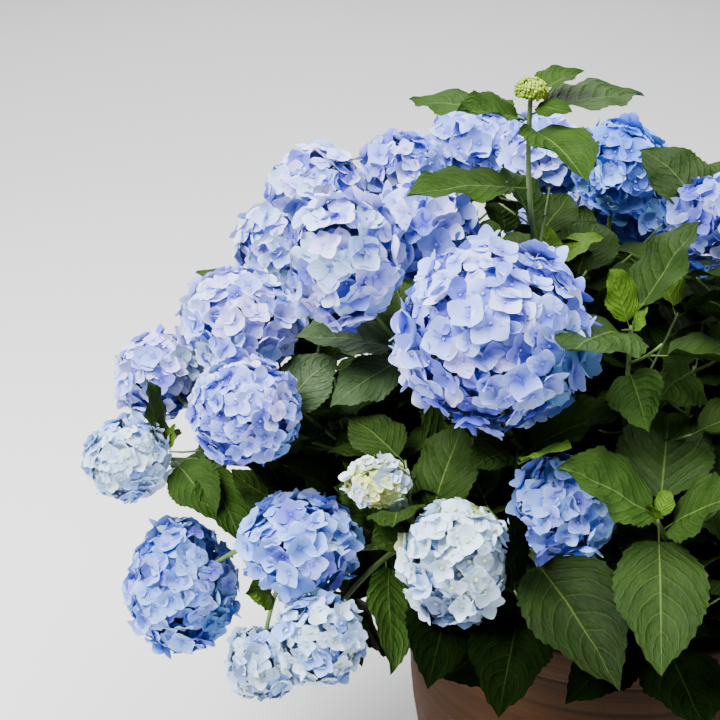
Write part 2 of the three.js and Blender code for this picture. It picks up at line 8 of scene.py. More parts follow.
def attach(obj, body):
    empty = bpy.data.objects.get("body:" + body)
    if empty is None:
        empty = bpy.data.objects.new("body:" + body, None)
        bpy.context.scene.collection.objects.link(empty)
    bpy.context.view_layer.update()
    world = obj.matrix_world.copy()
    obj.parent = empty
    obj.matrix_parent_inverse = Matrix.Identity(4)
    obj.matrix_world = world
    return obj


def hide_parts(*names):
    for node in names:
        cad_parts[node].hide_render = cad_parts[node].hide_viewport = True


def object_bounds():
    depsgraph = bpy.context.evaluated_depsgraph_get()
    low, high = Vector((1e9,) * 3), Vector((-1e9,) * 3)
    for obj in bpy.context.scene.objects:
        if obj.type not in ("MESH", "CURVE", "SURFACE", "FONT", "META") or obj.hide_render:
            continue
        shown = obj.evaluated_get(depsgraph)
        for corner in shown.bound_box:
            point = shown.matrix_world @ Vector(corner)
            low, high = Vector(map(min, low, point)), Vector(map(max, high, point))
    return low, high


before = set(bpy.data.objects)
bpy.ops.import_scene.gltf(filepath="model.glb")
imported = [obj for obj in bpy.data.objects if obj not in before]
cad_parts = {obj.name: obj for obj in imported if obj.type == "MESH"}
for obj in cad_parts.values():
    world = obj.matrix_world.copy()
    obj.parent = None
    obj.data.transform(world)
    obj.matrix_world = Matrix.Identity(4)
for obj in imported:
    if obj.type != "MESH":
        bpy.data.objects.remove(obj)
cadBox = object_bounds()
print("frame loaded")

mm = 0.001
up = Vector((0, 0, 1))

# camera, at the height and slope of somebody standing in front of the pot
view = {"place": (-0.277, -1.440, 1.292), "slope": 65, "lens": 50, "sensor": 24}
camera = bpy.data.objects.new("camera", bpy.data.cameras.new("camera"))
camera.location = view["place"]
camera.rotation_euler = (radians(view["slope"]), 0, 0)
camera.data.lens = view["lens"]
camera.data.sensor_width = camera.data.sensor_height = view["sensor"]
bpy.context.scene.collection.objects.link(camera)
bpy.context.scene.camera = camera


class Value:
    # a socket that takes part in sums
    def __init__(self, graph, socket):
        self.graph, self.socket = graph, socket

    def maths(self, operation, *others):
        return self.graph.node("ShaderNodeMath", {"operation": operation}, [self, *others])

    def __add__(self, other):
        return self.maths("ADD", other)

    def __mul__(self, other):
        return self.maths("MULTIPLY", other)

    def __sub__(self, other):
        return self.maths("SUBTRACT", other)

    def __rsub__(self, other):
        return self.graph.node("ShaderNodeMath", {"operation": "SUBTRACT"}, [other, self])

    def __truediv__(self, other):
        return self.maths("DIVIDE", other)

    def __rtruediv__(self, other):
        return self.graph.node("ShaderNodeMath", {"operation": "DIVIDE"}, [other, self])

    def __abs__(self):
        return self.maths("ABSOLUTE")

    def __gt__(self, other):
        return self.maths("GREATER_THAN", other)

    __radd__ = __add__
    __rmul__ = __mul__

    def ramp(self, low, high, toLow=0.0, toHigh=1.0):
        # 0 to 1 as the value runs from low to high, smoothly
        return self.graph.node("ShaderNodeMapRange", {"interpolation_type": "SMOOTHSTEP"},
                               [self, low, high, toLow, toHigh])


class Finish:
    # one material and its nodes
    def __init__(self, name, **constants):
        self.material = bpy.data.materials.new(name)
        self.material.use_nodes = True
        self.tree = self.material.node_tree
        self.shader = self.tree.nodes["Principled BSDF"]
        for socket, value in constants.items():
            self.shader.inputs[socket.replace("_", " ")].default_value = value

    def feed(self, inputs, values):
        pairs = values.items() if isinstance(values, dict) else enumerate(values)
        for key, value in pairs:
            if isinstance(value, Value):
                self.tree.links.new(value.socket, inputs[key])
            elif isinstance(value, tuple) and len(value) == 3 and inputs[key].type == "RGBA":
                inputs[key].default_value = (*value, 1)
            else:
                inputs[key].default_value = value

    def node(self, kind, settings=None, values=(), out=0):
        made = self.tree.nodes.new(kind)
        for name, setting in (settings or {}).items():
            setattr(made, name, setting)
        self.feed(made.inputs, values)
        return Value(self, made.outputs[out])

    def mix(self, share, first, second):
        return self.node("ShaderNodeMix", {"data_type": "RGBA"}, {0: share, 6: first, 7: second}, 2)

    def noise(self, vector, scale, detail=2.0, rough=0.5, twist=0.0):
        return self.node("ShaderNodeTexNoise", None, {"Vector": vector, "Scale": scale, "Detail": detail,
                                                      "Roughness": rough, "Distortion": twist})

    def stretch(self, vector, scale):
        return self.node("ShaderNodeVectorMath", {"operation": "MULTIPLY"}, [vector, scale])

    def place(self):
        return self.node("ShaderNodeTexCoord", out=3)

    def parts(self, vector):
        split = self.node("ShaderNodeSeparateXYZ", values=[vector]).socket.node
        return [Value(self, socket) for socket in split.outputs]

    def flat(self, x, y):
        return self.node("ShaderNodeCombineXYZ", values=[x, y, 0.0])

    def bump(self, height, strength, distance):
        return self.node("ShaderNodeBump", None,
                         {"Strength": strength, "Distance": distance, "Height": height})

    def dress(self, **links):
        self.feed(self.shader.inputs, {name.replace("_", " "): value for name, value in links.items()})
        return self.material


class Tree:
    # a Geometry Nodes tree with named inputs
    def __init__(self, name, **inputs):
        self.tree = bpy.data.node_groups.new(name, "GeometryNodeTree")
        self.tree.interface.new_socket("Geometry", in_out="INPUT", socket_type="NodeSocketGeometry")
        for label, kind in inputs.items():
            self.tree.interface.new_socket(label, in_out="INPUT", socket_type="NodeSocket" + kind)
        self.tree.interface.new_socket("Geometry", in_out="OUTPUT", socket_type="NodeSocketGeometry")
        self.start = self.tree.nodes.new("NodeGroupInput").outputs

    def node(self, kind, settings=None, values=None, out=0):
        made = self.tree.nodes.new(kind)
        for name, setting in (settings or {}).items():
            setattr(made, name, setting)
        for key, value in (values or {}).items():
            socket = made.inputs[key]
            if isinstance(value, bpy.types.NodeSocket):
                self.tree.links.new(value, socket)
            else:
                socket.default_value = value
        return made.outputs[out]

    def maths(self, operation, first, second):
        return self.node("ShaderNodeMath", {"operation": operation}, {0: first, 1: second})

    def named(self, name, kind="FLOAT_VECTOR"):
        return self.node("GeometryNodeInputNamedAttribute", {"data_type": kind}, {"Name": name})

    def random(self, low, high, kind):
        least, most, out = {"FLOAT_VECTOR": (0, 1, 0), "INT": (4, 5, 2)}[kind]
        return self.node("FunctionNodeRandomValue", {"data_type": kind},
                         {least: low, most: high, "Seed": self.start["Seed"]}, out)

    def scatter(self, turned):
        # one of the five shapes on each point, turned and sized, as loose faces
        shapes = self.node("GeometryNodeCollectionInfo", None, {
            "Collection": self.start["Shapes"], "Separate Children": True, "Reset Children": True})
        placed = self.node("GeometryNodeInstanceOnPoints", None, {
            "Points": self.start["Geometry"], "Instance": shapes, "Pick Instance": True,
            "Instance Index": self.random(0, 4, "INT"), "Rotation": turned,
            "Scale": self.named("size")})
        return self.node("GeometryNodeRealizeInstances", None, {"Geometry": placed})

    def finish(self, geometry):
        dressed = self.node("GeometryNodeSetMaterial", None,
                            {"Geometry": geometry, "Material": self.start["Finish"]})
        self.tree.links.new(dressed, self.tree.nodes.new("NodeGroupOutput").inputs[0])
        return self.tree


def pointsWith(name, rows):
    # loose points at each row's "at", which carry its other values, a number or a direction each
    mesh = bpy.data.meshes.new(name)
    mesh.from_pydata([tuple(row["at"]) for row in rows], [], [])
    for key in [key for key in rows[0] if key != "at"]:
        if isinstance(rows[0][key], float):
            values = mesh.attributes.new(key, "FLOAT", "POINT").data
            values.foreach_set("value", [row[key] for row in rows])
        else:
            values = mesh.attributes.new(key, "FLOAT_VECTOR", "POINT").data
            values.foreach_set("vector", [part for row in rows for part in row[key]])
    return mesh


def settle(name, rows, tree, **inputs):
    # runs a tree on points and keeps the result as a plain mesh in a piece of its own
    source = bpy.data.objects.new(name + "_points", pointsWith(name, rows))
    bpy.context.scene.collection.objects.link(source)
    modifier = source.modifiers.new("grow", "NODES")
    modifier.node_group = tree
    for item in tree.interface.items_tree:
        if item.in_out == "INPUT" and item.name in inputs:
            modifier[item.identifier] = inputs[item.name]
    bpy.context.view_layer.update()
    evaluated = source.evaluated_get(bpy.context.evaluated_depsgraph_get())
    result = bpy.data.meshes.new_from_object(evaluated)
    bpy.data.objects.remove(source)
    carried = ("way", "face", "size", "droop", "along")
    for extra in [a.name for a in result.attributes if a.name in carried]:
        result.attributes.remove(result.attributes[extra])
    return addPiece(name, result)


def addPiece(name, mesh, material=None):
    mesh.name = name
    if material:
        mesh.materials.append(material)
    piece = bpy.data.objects.new(name, mesh)
    bpy.context.scene.collection.objects.link(piece)
    return piece


def meshOf(name, points, faces, smooth=True):
    mesh = bpy.data.meshes.new(name)
    mesh.from_pydata([tuple(p) for p in points], [], faces)
    mesh.polygons.foreach_set("use_smooth", [smooth] * len(mesh.polygons))
    mesh.update()
    return mesh


def markedShape(name, points, faces, marks):
    # a leaf or floret for a tree to pick, with the place of every point on its own blade
    mesh = meshOf(name, points, [face[::-1] for face in faces])
    layer = mesh.uv_layers.new(name="OFBake")
    for loop in mesh.loops:
        layer.data[loop.index].uv = marks[loop.vertex_index]
    return bpy.data.objects.new(name, mesh)


def stock(name, objects):
    # a collection of shapes that a tree picks from, kept out of the scene
    shelf = bpy.data.collections.new(name)
    for thing in objects:
        shelf.objects.link(thing)
    return shelf


def revolve(name, profile, sides):
    # profile: (radius, height) from the middle of the underside round to the middle of the inside
    points, faces, rings = [], [], []
    for radius, height in profile:
        count = sides if radius else 1
        rings.append([len(points) + k for k in range(count)])
        points += [(radius * cos(2 * pi * k / sides), radius * sin(2 * pi * k / sides), height)
                   for k in range(count)]
    for low, high in zip(rings, rings[1:]):
        for k in range(sides):
            n = (k + 1) % sides
            if len(low) == 1:
                faces.append((low[0], high[n], high[k]))
            elif len(high) == 1:
                faces.append((low[k], low[n], high[0]))
            else:
                faces.append((low[k], low[n], high[n], high[k]))
    return meshOf(name, points, faces)


# the growth rule: the same seeded rule and sizes as the solids
pot = {"height": 400 * mm, "rimRadius": 225 * mm, "rimHeight": 40 * mm, "rimStep": 9 * mm,
       "footRadius": 165 * mm, "wall": 15 * mm, "floor": 22 * mm, "belly": 22 * mm, "soilBelowRim": 38 * mm}
soilTop = pot["height"] - pot["soilBelowRim"]
wood = {"caneRadius": 6.4 * mm, "stemRadius": 4.6 * mm, "twigRadius": 3.2 * mm, "tipRadius": 2.3 * mm,
        "footSpread": 120 * mm, "feetPerCane": 2, "massStart": 0.42, "forkReach": 0.6, "forkDrop": 0.34,
        "forkBelow": 34 * mm, "rimClearance": 62 * mm, "uprightShare": 0.22, "risenShare": 0.8,
        "widestLean": 480 * mm, "forkSink": 4 * mm, "twigSwing": 0.45, "twigStraight": 0.35}
# a pair of leaves: how far below the tip, how long and how far it leans out, in mm and degrees
leafRule = {"pairs": [(12, 104, 62), (48, 132, 68), (98, 150, 74), (156, 158, 78), (220, 160, 80)],
            "youngPairs": [(7, 66, 34), (20, 112, 58), (58, 142, 70), (112, 155, 76), (172, 160, 80)],
            "stemFirst": 12, "stemSpacing": 40, "stemLongest": 300, "stemLeaf": 150, "stemAngle": 76,
            "widthShare": 0.58, "widest": 0.46, "stalkShare": 0.25, "droop": 0.2, "fold": 0.1,
            "lowest": -0.55, "lengthSpread": 0.14, "droopSpread": 0.4, "turnSpread": 22, "rollSpread": 18,
            "underBloom": 0.42, "belowBloom": 10 * mm, "pastBloom": 10 * mm, "overRim": 30 * mm,
            "sightShare": 0.8, "standingSight": 0.24, "standingMiddle": 0.55, "clearOfFork": 0.04,
            "clearOfGround": 20 * mm, "insideBox": 4 * mm, "seed": 500}
# a green bud; its heart is the dark core inside it, which is painted shade
bud = {"across": 33, "tall": 26, "beads": 210, "openAngle": 0.55, "innermost": 0.70, "depth": 0.20,
       "bead": 1.7 * mm, "beadSpread": 1.2 * mm, "heart": 0.62}


def seeded(seed):
    # the same plain generator as the solids use, so that both draw the same numbers
    state = [seed]

    def draw():
        state[0] = (state[0] * 1664525 + 1013904223) % 4294967296
        return state[0] / 4294967296
    return draw


def spread(draw, amount):
    return (2 * draw() - 1) * amount


def bloomAt(bearing, reach, height, across, tall, tone, floret=32, covered=0):
    return {"bearing": bearing, "reach": reach * mm, "height": height * mm, "across": across * mm,
            "tall": tall * mm, "tone": tone, "floret": floret * mm, "covered": covered, "leafy": False}


def budAt(bearing, reach, height, covered=0):
    return bloomAt(bearing, reach, height, bud["across"], bud["tall"], "bud", covered=covered)


def leafyAt(bearing, reach, height, covered=0):
    return {"bearing": bearing, "reach": reach * mm, "height": height * mm, "covered": covered,
            "leafy": True, "tall": 0, "tone": "leafy"}


# name, the tips of its twigs, and the leaves that stand out: tip, share along it, bearing, rise and length,
# and for some their roll and tone, where the tone paints light or shade on that leaf
canes = [
    ("front_top", [bloomAt(225, 213, 717, 200, 196, "blue", 35)], [(0, 0.10, 233, 22, 100, -20)]),
    ("left_top",
     [bloomAt(192, 298, 759, 116, 144, "lilac", 34), bloomAt(172, 212, 753, 118, 112, "blue", 34)],
     [(0, 0.35, 211, -9, 98, -20, "leaves_silver"), (0, 0.38, 190, 24, 128, -12, "leaves_silver")]),
    ("left_back",
     [bloomAt(147, 391, 738, 122, 104, "lilac", 30), bloomAt(153, 419, 673, 106, 120, "lilac", 30)],
     [(1, 0.29, 210, -1, 86, -35)]),
    ("left_middle",
     [bloomAt(178, 405, 660, 140, 118, "lilac", 28), bloomAt(193, 403, 606, 122, 112, "blue", 24),
      leafyAt(158, 378, 565)],
     [(1, 0.8, 22, 47, 115, 30, "leaves_silver")]),
    ("far_left",
     [bloomAt(164, 534, 532, 106, 106, "lilac", 27, 110), bloomAt(178, 534, 492, 102, 98, "pale", 22, 110)],
     [(1, 0.75, 306, -7, 94, 20), (1, 0.57, 298, -16, 114, -10), (1, 0.8, 119, 67, 112, 54),
      (1, 0.8, 52, 64, 50, -20)]),
    ("low_left",
     [bloomAt(182, 478, 347, 136, 172, "sky", 28, 170), bloomAt(193, 395, 296, 86, 86, "pale", 23, 170)],
     [(1, 0.67, 240, 43, 78, -65)]),
    ("low_front",
     [bloomAt(201, 362, 474, 134, 104, "sky", 29, 90), bloomAt(212, 376, 406, 100, 96, "pale", 22, 150)],
     [(1, 0.23, 273, -20, 116, -35, "leaves_light")]),
    ("front",
     [bloomAt(232, 306, 523, 108, 134, "white", 26), bloomAt(213, 309, 568, 70, 46, "cream", 11)],
     [(0, 0.6, 252, -25, 115, -10, "leaves_dark")]),
    ("right_front", [bloomAt(247, 207, 552, 108, 110, "sky", 27), leafyAt(241, 242, 516, 60)],
     [(1, 0.97, 295, -6, 165, 15, "leaves_shade")]),
    ("tall", [budAt(207, 131, 927, 170)],
     [(0, 0.97, 31, 26, 70), (0, 0.94, 317, 14, 51, 25), (0, 0.91, 24, 13, 133, 5), (0, 0.9, 147, 8, 135),
      (0, 0.87, 214, 27, 98, -17), (0, 0.85, 289, 7, 125, -3), (0, 0.61, 203, 15, 136, -5),
      (0, 0.39, 102, 31, 124, 35), (0, 0.2, 13, 37, 80), (0, 0.2, 68, 69, 60), (0, 0.2, 29, -37, 100, 40)]),
    ("back_left",
     [bloomAt(128, 366, 740, 104, 96, "blue", 28), bloomAt(112, 360, 753, 124, 104, "blue", 30)], []),
    ("back",
     [bloomAt(105, 238, 776, 112, 96, "blue", 30), bloomAt(86, 172, 779, 110, 112, "deep", 30),
      bloomAt(78, 297, 680, 104, 84, "deep", 30)], []),
    ("right_top",
     [bloomAt(0, 80, 777, 98, 94, "blue", 30), bloomAt(14, 212, 742, 118, 104, "blue", 30)],
     [(0, 0.99, 149, 48, 124, -30), (0, 0.1, 229, 9, 120, 8)]),
    ("front_leafy", [leafyAt(270, 235, 565, 90), budAt(298, 192, 426)],
     [(0, 0.93, 194, 46, 150, -25, "leaves_light"), (0, 0.89, 305, 50, 130, 38), (0, 0.97, 77, 35, 155),
      (0, 0.97, 263, -15, 150, 0, "leaves_deep"), (0, 0.99, 40, 66, 40), (0, 0.99, 220, 66, 34)]),
    ("top_leafy", [leafyAt(262, 131, 717, 70)],
     [(0, 0.96, 35, 58, 150, -20), (0, 0.98, 237, 22, 162, -10), (0, 0.97, 160, 71, 80, -28),
      (0, 0.95, 322, 70, 50, 45), (0, 0.75, 274, -4, 92, 25, "leaves_light")]),
    ("right_leafy", [leafyAt(311, 92, 646, 40)],
     [(0, 0.96, 240, 19, 112, -45, "leaves_light"), (0, 0.93, 111, 37, 102, 0, "leaves_light")]),
    ("low_leafy", [leafyAt(241, 257, 465), leafyAt(272, 262, 454)],
     [(0, 0.97, 256, -5, 130), (1, 0.96, 279, 4, 130), (1, 0.9, 217, -7, 110, -20),
      (0, 0.6, 196, -22, 130, -50)]),
    ("back_leafy", [leafyAt(50, 250, 700)], []),
    ("side_leafy", [leafyAt(325, 250, 600)], []),
]
# the canes of the far sides: turn, reach, height, width and height of the two blooms on each
farSides = {"names": ["right_low", "right_middle", "right_far", "right_back", "far_back", "back_low"],
            "firstBearing": -62, "step": 36, "reachSpread": 36, "heightSpread": 50, "sizeSpread": 14,
            "blooms": [(0, 430, 430, 116, 112), (15, 310, 610, 124, 110)], "floret": 28, "seed": 7,
            "tones": ["white", "blue", "pale", "lilac", "sky", "pale",
                      "blue", "deep", "deep", "blue", "lilac", "sky"]}


def placeOf(bearing, reach, height):
    return Vector((reach * cos(radians(bearing)), reach * sin(radians(bearing)), height))


def bezier(curve, t):
    a, b, c = curve
    return a * (1 - t) ** 2 + b * (2 * t * (1 - t)) + c * t * t


def tangent(curve, t):
    a, b, c = curve
    return ((b - a) * (1 - t) + (c - b) * t).normalized()


def lengthOf(curve):
    steps = 60
    return sum((bezier(curve, (i + 1) / steps) - bezier(curve, i / steps)).length for i in range(steps))


def farCanes():
    draw = seeded(farSides["seed"])

    def near(value, amount):
        return floor(value + spread(draw, farSides[amount]) + 0.5)
    rows = []
    for i, name in enumerate(farSides["names"]):
        bearing, tips = farSides["firstBearing"] + i * farSides["step"], []
        for k, (turn, reach, height, across, tall) in enumerate(farSides["blooms"]):
            tips.append(bloomAt(bearing + turn, near(reach, "reachSpread"), near(height, "heightSpread"),
                                near(across, "sizeSpread"), near(tall, "sizeSpread"),
                                farSides["tones"][2 * i + k], farSides["floret"]))
        rows.append((name, tips, []))
    return rows


def setFeet(shrub):
    # the feet lie in a spiral on the soil, and the canes that reach farthest choose first
    golden = 180 * (3 - sqrt(5))
    count = wood["feetPerCane"] * len(shrub)
    free = [placeOf(golden * i, wood["footSpread"] * sqrt((i + 0.5) / count), soilTop) for i in range(count)]
    for cane in sorted(shrub, key=lambda c: -c["middle"].length):
        wish = cane["middle"].xy * (wood["footSpread"] / wood["widestLean"])
        free.sort(key=lambda foot: hypot(foot.x - wish.x, foot.y - wish.y))
        cane["foot"] = free.pop(0)


def bendCane(cane):
    # the cane rises steeply, leans out to its fork and sends a twig to each tip
    foot, middle = cane["foot"], cane["middle"]
    rise, lowest = middle.z - soilTop, pot["height"] + wood["rimClearance"]
    fork = foot.lerp(middle, wood["forkReach"])
    fork.z = max(middle.z - wood["forkDrop"] * rise - wood["forkBelow"], lowest)
    bend = foot.lerp(fork, wood["uprightShare"])
    bend.z = soilTop + wood["risenShare"] * (fork.z - soilTop)
    if rise < 2 * wood["rimClearance"]:
        bend.z += wood["rimClearance"] / 2
    cane["curve"] = (foot, bend, fork)
    heading = tangent(cane["curve"], 1)
    for tip in cane["tips"]:
        swung = fork + heading * (wood["twigSwing"] * (tip["at"] - fork).length)
        turn = swung.lerp(fork.lerp(tip["at"], 0.5), wood["twigStraight"])
        tip["curve"] = (fork - heading * wood["forkSink"], turn, tip["at"])


def plantCanes():
    shrub = [{"name": name, "tips": tips, "leaves": leaves} for name, tips, leaves in canes + farCanes()]
    for cane in shrub:
        for tip in cane["tips"]:
            tip["at"] = placeOf(tip["bearing"], tip["reach"], tip["height"])
        cane["middle"] = sum((tip["at"] for tip in cane["tips"]), Vector()) / len(cane["tips"])
    setFeet(shrub)
    for cane in shrub:
        bendCane(cane)
    return shrub


def pairsOn(curve, start, pairs, draw):
    length = lengthOf(curve)
    firstTurn = 360 * draw()
    found = []
    for k, (below, leafLength, angle) in enumerate(pairs):
        at = 1 - below * mm / length
        if at > start + leafRule["clearOfFork"]:
            found.append(leavesOfPair(curve, at, firstTurn + 90 * k, leafLength * mm, angle, draw))
    return found


def sideOf(along):
    # a level direction square to a limb
    nearlyUpright = 0.95
    level = Vector((1, 0, 0)) if abs(along.z) > nearlyUpright else up
    return level.cross(along).normalized()


def leavesOfPair(curve, at, firstTurn, size, angle, draw):
    root, along = bezier(curve, at), tangent(curve, at)
    side = sideOf(along)
    pair = []
    for half in (0, 180):
        turn = radians(firstTurn + half + spread(draw, leafRule["turnSpread"]))
        out = Quaternion(along, turn) @ side
        way = along * cos(radians(angle)) + out * sin(radians(angle))
        way.z = max(way.z, leafRule["lowest"])
        way.normalize()
        length = size * (1 + spread(draw, leafRule["lengthSpread"]))
        droop = leafRule["droop"] * (1 + spread(draw, leafRule["droopSpread"]))
        roll = radians(spread(draw, leafRule["rollSpread"]))
        pair.append({"at": root, "way": way, "length": length, "droop": droop, "roll": roll})
    return pair


def limitsOf(cane, tip=None):
    # how low the leaves of a stem or a twig may hang and how far out they may reach
    blooms = [t for t in cane["tips"] if not t["leafy"] and t["tone"] != "bud" and tip in (None, t)]
    low = pot["height"] - leafRule["overRim"]
    if tip:
        low = min([low] + [t["height"] - t["tall"] / 2 - leafRule["belowBloom"] for t in blooms])
    far = max([t["reach"] + t["across"] / 2 + leafRule["pastBloom"] for t in blooms], default=1)
    return low, far


def withLimits(pairs, limits):
    return [[{**leaf, "limits": limits} for leaf in pair] for pair in pairs]


def standingLeaf(cane, tip, at, bearing, rise, length, roll=0, tone=None):
    way = placeOf(bearing, cos(radians(rise)), sin(radians(rise)))
    return {"at": bezier(cane["tips"][tip]["curve"], at), "way": way, "length": length * mm,
            "droop": leafRule["droop"], "roll": radians(roll), "tone": tone}


def leavesOf(cane, seed):
    draw = seeded(seed)
    found = [[standingLeaf(cane, *row)] for row in cane["leaves"]]
    for tip in cane["tips"]:
        inset = 0 if tip["leafy"] else leafRule["underBloom"] * tip["tall"] / mm
        rows = leafRule["youngPairs"] if tip["leafy"] else leafRule["pairs"]
        pairs = [(below + inset, length, angle) for below, length, angle in rows
                 if below + inset > tip["covered"]]
        found += withLimits(pairsOn(tip["curve"], 0, pairs, draw), limitsOf(cane, tip))
    visible = (1 - wood["massStart"]) * lengthOf(cane["curve"]) / mm
    count = floor(min(visible, leafRule["stemLongest"]) / leafRule["stemSpacing"])
    first, step, size = leafRule["stemFirst"], leafRule["stemSpacing"], leafRule["stemLeaf"]
    pairs = [(first + k * step, size, leafRule["stemAngle"]) for k in range(count)]
    return found + withLimits(pairsOn(cane["curve"], wood["massStart"], pairs, draw), limitsOf(cane))


def leafFrame(leaf):
    way = leaf["way"]
    level = (up - way * up.dot(way)).normalized()
    face = Quaternion(way, leaf["roll"]) @ level
    return way, face, face.cross(way).normalized()


def leafPoint(leaf, along, across):
    way, face, aside = leaf["axes"]
    length = leaf["length"]
    width = leafRule["widthShare"] * length
    fold = leafRule["fold"] * width * abs(across) * 2
    sag = leaf["droop"] * length * along * along
    return leaf["at"] + way * (along * length) + aside * (across * width) + face * fold - up * sag


def bladeTree(leaf, start):
    # the outline of a blade as a small tree of faces, for meeting others
    widest = leafRule["widest"]
    points = [leafPoint(leaf, *p) for p in ((start, 0), (widest, -0.5), (1, 0), (widest, 0.5), (widest, 0))]
    return BVHTree.FromPolygons(points, [(0, 1, 4), (1, 2, 4), (2, 3, 4), (3, 0, 4)]), points


class Room:
    # what is already in place, in a coarse grid, so that what grows later keeps clear of it
    def __init__(self, cell):
        self.cell, self.cells, self.balls, self.sights = cell, {}, [], []

    def reach(self, points):
        low = [floor(min(p[i] for p in points) / self.cell) for i in range(3)]
        high = [floor(max(p[i] for p in points) / self.cell) for i in range(3)]
        return [(x, y, z) for x in range(low[0], high[0] + 1) for y in range(low[1], high[1] + 1)
                for z in range(low[2], high[2] + 1)]

    def claim(self, owner, tree, points, limb=False):
        item = (owner, tree, limb)
        for key in self.reach(points):
            self.cells.setdefault(key, []).append(item)

    def met(self, tree, points, skip):
        seen = set()
        for key in self.reach(points):
            for item in self.cells.get(key, ()):
                if id(item) not in seen:
                    seen.add(id(item))
                    if not skip(item) and tree.overlap(item[1]):
                        return True
        return False


def inBall(point, ball, share):
    middle, across, tall = ball
    away = point - middle
    return (away.x / across) ** 2 + (away.y / across) ** 2 + (away.z / tall) ** 2 < share * share


def tubeRings(path, sides):
    # rings of points round a path of (place, radius)
    rings, side = [], Vector((0, 1, 0))
    turns = [2 * pi * k / sides for k in range(sides)]
    for i, (at, radius) in enumerate(path):
        before, after = path[max(0, i - 1)][0], path[min(len(path) - 1, i + 1)][0]
        along = (after - before).normalized()
        side = (side - along * side.dot(along)).normalized()
        other = along.cross(side)
        rings.append([at + side * (radius * cos(turn)) + other * (radius * sin(turn)) for turn in turns])
    return rings


def addTube(points, faces, path, sides):
    base = len(points)
    rings = tubeRings(path, sides)
    for ring in rings:
        points += ring
    for i in range(len(rings) - 1):
        for k in range(sides):
            n = (k + 1) % sides
            faces.append((base + i * sides + k, base + i * sides + n, base + (i + 1) * sides + n,
                          base + (i + 1) * sides + k))
    faces.append(tuple(base + k for k in reversed(range(sides))))
    faces.append(tuple(base + (len(rings) - 1) * sides + k for k in range(sides)))


def limbPath(curve, start, end, thick, thin, steps):
    return [(bezier(curve, start + (end - start) * i / steps), thick + (thin - thick) * i / steps)
            for i in range(steps + 1)]


shrub = plantCanes()
room = Room(cell=60 * mm)


def bodyRadius(height):
    share = height / (pot["height"] - pot["rimHeight"])
    straight = pot["footRadius"] + (pot["rimRadius"] - pot["rimStep"] - pot["footRadius"]) * share
    return straight + pot["belly"] * sin(pi * share)


# plain tubes round the pot and the limbs, which leaves and shoots keep clear of
rough = {"potSides": 24, "potMargin": 1.01, "potHeights": (120 * mm, 240 * mm), "rimFoot": 355 * mm,
         "caneSteps": 10, "twigSteps": 6, "limbSides": 4}


def claimTube(owner, path, sides, limb):
    points, faces = [], []
    addTube(points, faces, path, sides)
    room.claim(owner, BVHTree.FromPolygons(points, faces), points, limb)


def potOutside():
    path = [(0, pot["footRadius"])] + [(height, bodyRadius(height)) for height in rough["potHeights"]]
    path += [(rough["rimFoot"], pot["rimRadius"]), (pot["height"], pot["rimRadius"])]
    return [(Vector((0, 0, height)), radius * rough["potMargin"]) for height, radius in path]


def claimLimbs(cane):
    stem = limbPath(cane["curve"], 0, 1, wood["caneRadius"], wood["twigRadius"], rough["caneSteps"])
    claimTube(cane["name"], stem, rough["limbSides"], True)
    for tip in cane["tips"]:
        twig = limbPath(tip["curve"], 0, 1, wood["twigRadius"], wood["tipRadius"], rough["twigSteps"])
        claimTube(cane["name"], twig, rough["limbSides"], True)
        if not tip["leafy"]:
            room.balls.append((tip["at"], tip["across"] / 2, tip["tall"] / 2))
            if cane["name"] not in farSides["names"]:
                room.sights.append((tip["at"], leafRule["sightShare"] * tip["across"] / 2))


claimTube("pot", potOutside(), rough["potSides"], False)
for cane in shrub:
    claimLimbs(cane)

# leaves by the rule, then finer side shoots that fill the rest of each mass
shoots = {"spacing": 19 * mm, "length": 84 * mm, "lengthSpread": 0.4, "forward": 0.7, "rise": 0.5,
          "turn": 137.5, "turnSpread": 50, "setBack": 0.2, "setBackSpread": 0.6, "thick": 1.9 * mm,
          "thin": 1.2 * mm, "pairs": [(4, 92, 42), (26, 118, 64), (54, 128, 76)], "leavesFrom": -0.2,
          "onCane": (0.3, 0.98), "onTwig": 0.06, "underBloom": 0.5, "pastCovered": 40, "clearFrom": 0.12,
          "roughSteps": 3, "roughSides": 3, "steps": 5, "ballShare": 1.03, "inside": 0.92, "seed": 900}
crown = {"radius": 450 * mm, "height": 550 * mm}
leaves, greenLimbs = [], []


def beforeSight(eye, ray):
    # whether a point hangs before a bloom or a leaf that stands out
    for middle, radius in room.sights:
        away = middle - eye
        nearest = eye + ray * (away.dot(ray) / ray.length_squared)
        if ray.length < away.length and (middle - nearest).length < radius:
            return True
    return False


def beforePot(eye, ray):
    # whether a point hangs before the pot, which is a circle when seen from above
    flat, start = ray.xy, eye.xy
    half, rest = flat.dot(start), start.length_squared - pot["rimRadius"] ** 2
    inside = half * half - flat.length_squared * rest
    if inside <= 0:
        return False
    reach = (-half - sqrt(inside)) / flat.length_squared
    return reach > 1 and eye.z + ray.z * reach < pot["height"]


def hides(points):
    eye = Vector(view["place"])
    return any(beforeSight(eye, point - eye) or beforePot(eye, point - eye) for point in points)


def fits(leaf):
    # whether a leaf keeps within its limits and leaves the front open
    low, far = leaf["limits"]
    widest = leafRule["widest"]
    outline = [leafPoint(leaf, *p) for p in ((widest, -0.5), (widest, 0.5), (widest, 0), (0.75, 0), (1, 0))]
    within = all(p.z > low and hypot(p.x, p.y) < far for p in outline)
    return within and inBox(outline) and not hides(outline)


def inBox(points):
    low, high = cadBox
    inset = leafRule["insideBox"]
    return all(low[i] + inset < p[i] < high[i] - inset for p in points for i in range(3))


def depthOf(point):
    # 0 at the foot of the crown, about 2 at its outside
    return hypot(point.x, point.y) / crown["radius"] + (point.z - soilTop) / crown["height"]


